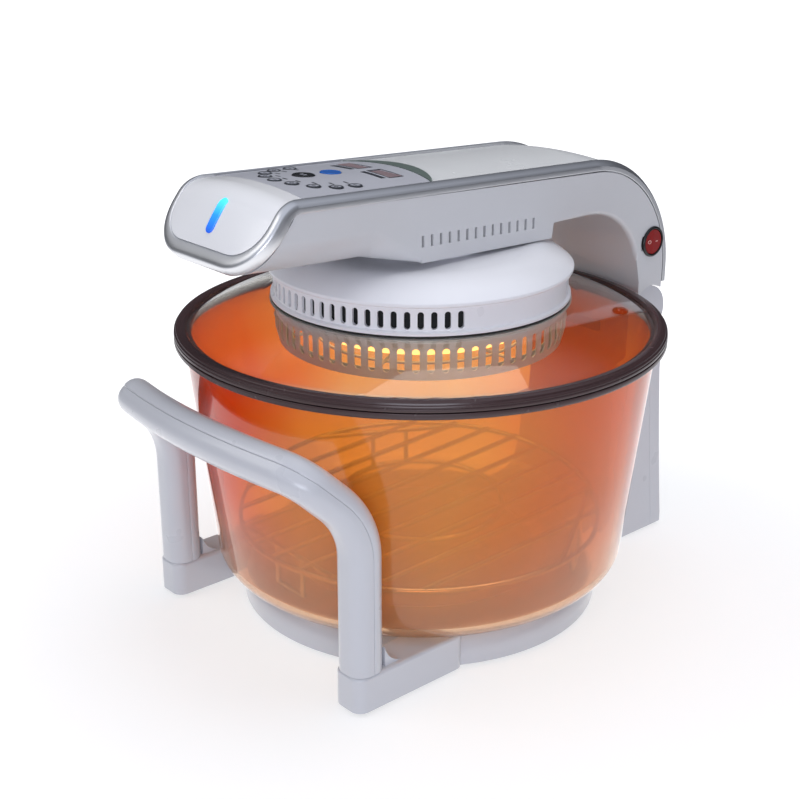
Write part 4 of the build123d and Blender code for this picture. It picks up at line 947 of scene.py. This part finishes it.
# smoked acrylic over unlit figures: smooth dusky rose
window_rose = plain("rose_window", "#9A8488", 0.15, mottle=0.05)
refined("display_windows", "lid", window_rose, "window_rose", width=0.3)
# screen-printing ink: satin near-black; the keys are moulded ABS in grey, black and blue
ink = plain("black_print", "#33363D", 0.4, mottle=0.08)
key_grey = plain("grey_key", "#B4B6C0", 0.3, mottle=0.05)
black_key = plain("black_key", "#15171B", 0.25, mottle=0.1)
blue_key = plain("blue_key", "#1F62B8", 0.25, mottle=0.1)


def push_button(name, slot, x, v, radius, rim_wide, rim, face, marks=(), print_ink=ink):
    """Button with a raised rim round its face, its flange and stem; marks are bars (x, v, wide, deep)."""
    lift = crown_height(x)
    top = lift + CAP_PROUD
    profile = [(STEM_R, STEM_LOW), (STEM_R, FOOT_LOW), (radius + FLANGE_WIDE, FOOT_LOW),
               (radius + FLANGE_WIDE, FLANGE_TOP), (radius, FLANGE_TOP), (radius, top - CAP_EASE),
               (radius - CAP_EASE, top), (radius - rim_wide, top), (radius - rim_wide - FACE_SUNK, top - FACE_SUNK)]
    circle = [(cos(2 * pi * k / CAP_SIDES), sin(2 * pi * k / CAP_SIDES)) for k in range(CAP_SIDES)]
    points = [on_top(x + r * a, v + r * b, height) for r, height in profile for a, b in circle]
    faces = []
    for low in range(0, len(points) - CAP_SIDES, CAP_SIDES):
        high = low + CAP_SIDES
        for k in range(CAP_SIDES):
            on = (k + 1) % CAP_SIDES
            faces.append((low + k, low + on, high + on, high + k))
    faces += [tuple(range(CAP_SIDES)), tuple(range(len(points) - CAP_SIDES, len(points)))]
    cap_faces = len(faces)
    for dx, dv, wide, deep in marks:
        start = len(points)
        points += [on_top(x + dx + a * wide / 2, v + dv + b * deep / 2, lift + height)
                   for height in (MARK_LOW, MARK_HIGH) for a, b in ((-1, -1), (1, -1), (1, 1), (-1, 1))]
        faces += [tuple(start + i for i in quad) for quad in (
            (0, 1, 2, 3), (4, 5, 6, 7), (0, 1, 5, 4), (1, 2, 6, 5), (2, 3, 7, 6), (3, 0, 4, 7))]
    piece = mesh_piece(name + "_cap", points, faces, rim, CAP_SHARP)
    piece.data.materials.append(face)
    piece.data.materials.append(print_ink)
    for polygon in piece.data.polygons:
        if polygon.index == cap_faces - 1:
            polygon.material_index = 1
        elif polygon.index >= cap_faces:
            polygon.material_index = 2
    soften(piece)
    settle(piece, name, slot, name)


push_button("start_button", "button_black", -4.0, 43.7, 7.4, 1.0, black_key, black_key,
            [(-1.6, 0, 1.6, 2.6), (1.6, 0, 1.6, 2.6)], key_grey)
push_button("light_button", "button_blue", -3.0, 64.7, 7.0, 0.8, blue_key, blue_key)
bars = []
for number in range(-4, 5):
    a = radians(-90 + KEY_PITCH * number)
    push_button(f"key_{number + 5}", "key_grey", RING_R * cos(a), RING_V + RING_R * sin(a), 4.6, 1.2, ink, key_grey,
                KEY_CROSS if number % 2 else KEY_CROSS[:1])
    bars.append((BAR_RING_R * cos(a), RING_V + BAR_RING_R * sin(a), 4.4, 1.3))
# a label bar and the four sides of the frame, for each window
for x in (-WINDOW_X, WINDOW_X):
    bars += [(x, WINDOW_V - 10.2, 21, 3.6), (x, WINDOW_V - 5.7, 23, 0.8), (x, WINDOW_V + 5.7, 23, 0.8)]
    bars += [(x - 11.3, WINDOW_V, 0.8, 11), (x + 11.3, WINDOW_V, 0.8, 11)]


def crowned_bars():
    """Geometry Nodes tree: a block on every point, bent over the crown and laid on the arm's slope.

    The blocks are made real before that, because each one bends with the crown.
    """
    tree = bpy.data.node_groups.new("bars_on_the_crown", "GeometryNodeTree")
    sockets = {}
    for name, kind in (("Middles", "Geometry"), ("Crown", "Float"), ("Crown half width", "Float"),
                       ("Ink", "Material")):
        sockets[name] = tree.interface.new_socket(name, in_out="INPUT", socket_type="NodeSocket" + kind).identifier
    tree.interface.new_socket("Print", in_out="OUTPUT", socket_type="NodeSocketGeometry")
    given = add_node(tree, "NodeGroupInput").outputs
    size = add_node(tree, "GeometryNodeInputNamedAttribute", {"Name": "bar_size"}, data_type="FLOAT_VECTOR")
    block = add_node(tree, "GeometryNodeMeshCube", {"Size": (1, 1, 1)})
    laid = add_node(tree, "GeometryNodeInstanceOnPoints", {
        "Points": given["Middles"], "Instance": block.outputs["Mesh"], "Scale": size.outputs["Attribute"]})
    real = add_node(tree, "GeometryNodeRealizeInstances", {"Geometry": laid.outputs["Instances"]})
    place = add_node(tree, "GeometryNodeInputPosition").outputs["Position"]
    across = add_node(tree, "ShaderNodeSeparateXYZ", {0: place}).outputs["X"]
    share = add_node(tree, "ShaderNodeMath", {0: across, 1: given["Crown half width"]}, operation="DIVIDE")
    square = add_node(tree, "ShaderNodeMath", {0: share.outputs[0], 1: share.outputs[0]}, operation="MULTIPLY")
    left_over = add_node(tree, "ShaderNodeMath", {0: 1.0, 1: square.outputs[0]}, operation="SUBTRACT")
    height = add_node(tree, "ShaderNodeMath", {0: given["Crown"], 1: left_over.outputs[0]}, operation="MULTIPLY")
    lift = add_node(tree, "ShaderNodeCombineXYZ", {"Z": height.outputs[0]})
    bent = add_node(tree, "GeometryNodeSetPosition", {"Geometry": real.outputs[0], "Offset": lift.outputs[0]})
    sloped = add_node(tree, "GeometryNodeTransform", {
        "Geometry": bent.outputs[0], "Translation": ARM_START * MM, "Rotation": (-atan2(SLOPE, 1), 0, 0)})
    inked = add_node(tree, "GeometryNodeSetMaterial", {"Geometry": sloped.outputs[0], "Material": given["Ink"]})
    add_node(tree, "NodeGroupOutput", {"Print": inked.outputs[0]})
    return tree, sockets


middles, sizes = [], []
for x, v, wide, deep in bars:
    parts = max(1, round(wide / BAR_PART))
    for k in range(parts):
        middles.append(Vector((x - wide / 2 + wide * (k + 0.5) / parts, v, (INK_LOW + INK_HIGH) / 2)) * MM)
        sizes.append(Vector((wide / parts, deep, INK_HIGH - INK_LOW)) * MM)
points = bpy.data.meshes.new("bar_middles")
points.from_pydata(middles, [], [])
bar_size = points.attributes.new("bar_size", "FLOAT_VECTOR", "POINT")
for value, size in zip(bar_size.data, sizes):
    value.vector = size
print_piece = bpy.data.objects.new("panel_print", points)
scene.collection.objects.link(print_piece)
tree, sockets = crowned_bars()
blocks = print_piece.modifiers.new("blocks", "NODES")
blocks.node_group = tree
blocks[sockets["Crown"]] = CROWN * MM
blocks[sockets["Crown half width"]] = CROWN_HALF * MM
blocks[sockets["Ink"]] = ink
graph = bpy.context.evaluated_depsgraph_get()
mesh = bpy.data.meshes.new_from_object(print_piece.evaluated_get(graph), depsgraph=graph)
print_piece.modifiers.remove(blocks)
print_piece.data = mesh
mesh.name = "panel_print"
close_and_smooth(mesh)
settle(print_piece, "lid", "panel_lavender")


# ---------------------------------------------------------------- power switch
# Round mains rocker in the arm's right side: black nylon bezel, dark red
# translucent rocker with plain on and off marks.
SWITCH = Vector((52.0, 185.5, 237.0))
OFF_RING_Y, OFF_RING_R = -3.4, (0.9, 1.5)
OFF_RING_PARTS = 24
ON_BAR_Y, ON_BAR_HALF = (2.4, 3.7, 5.0), 0.35
MARK_SUNK, MARK_PROUD = -0.1, 0.12

# moulded nylon with a polished face: black and shiny
bezel_black = plain("black_bezel", "#111113", 0.3, mottle=0.1)
refined("switch_bezel", "lid", bezel_black, "bezel_black", width=0.3)
# moulded polycarbonate, unlit: deep red with a clear highlight
rocker_red = plain("dark_red_rocker", "#8E0D0B", 0.2, mottle=0.06)
rocker = refined("power_rocker", "power_rocker", rocker_red, "rocker_red", width=0.3)


def on_rocker(y, z, out):
    """Point that far outside the rocker's face; y and z from the switch's middle."""
    start = SWITCH + Vector((20.0, y, z))
    return Vector((rocker.ray_cast(start * MM, Vector((-1, 0, 0)))[1].x / MM + out, start.y, start.z))


turns = [2 * pi * k / OFF_RING_PARTS for k in range(OFF_RING_PARTS)]
off_ring = [[(OFF_RING_Y + r * cos(a), r * sin(a)) for r in OFF_RING_R] for a in turns]
on_bar = [[(y, z) for z in (-ON_BAR_HALF, ON_BAR_HALF)] for y in ON_BAR_Y]
points, faces = [], []
for pairs, closed in ((off_ring, True), (on_bar, False)):
    first, count = len(points), len(pairs)
    for pair in pairs:
        points += [on_rocker(y, z, out) for out in (MARK_SUNK, MARK_PROUD) for y, z in pair]
    for k in range(count if closed else count - 1):
        here, there = first + 4 * k, first + 4 * ((k + 1) % count)
        faces += [(here + i, here + j, there + j, there + i) for i, j in ((0, 1), (1, 3), (3, 2), (2, 0))]
    if not closed:
        faces += [tuple(end + i for i in (0, 1, 3, 2)) for end in (first, first + 4 * (count - 1))]
# pad-printed ink: pale and matt on the red
marks = mesh_piece("rocker_marks", points, faces, plain("pale_print", "#E0A8A0", 0.4))
settle(marks, "power_rocker", "rocker_red")
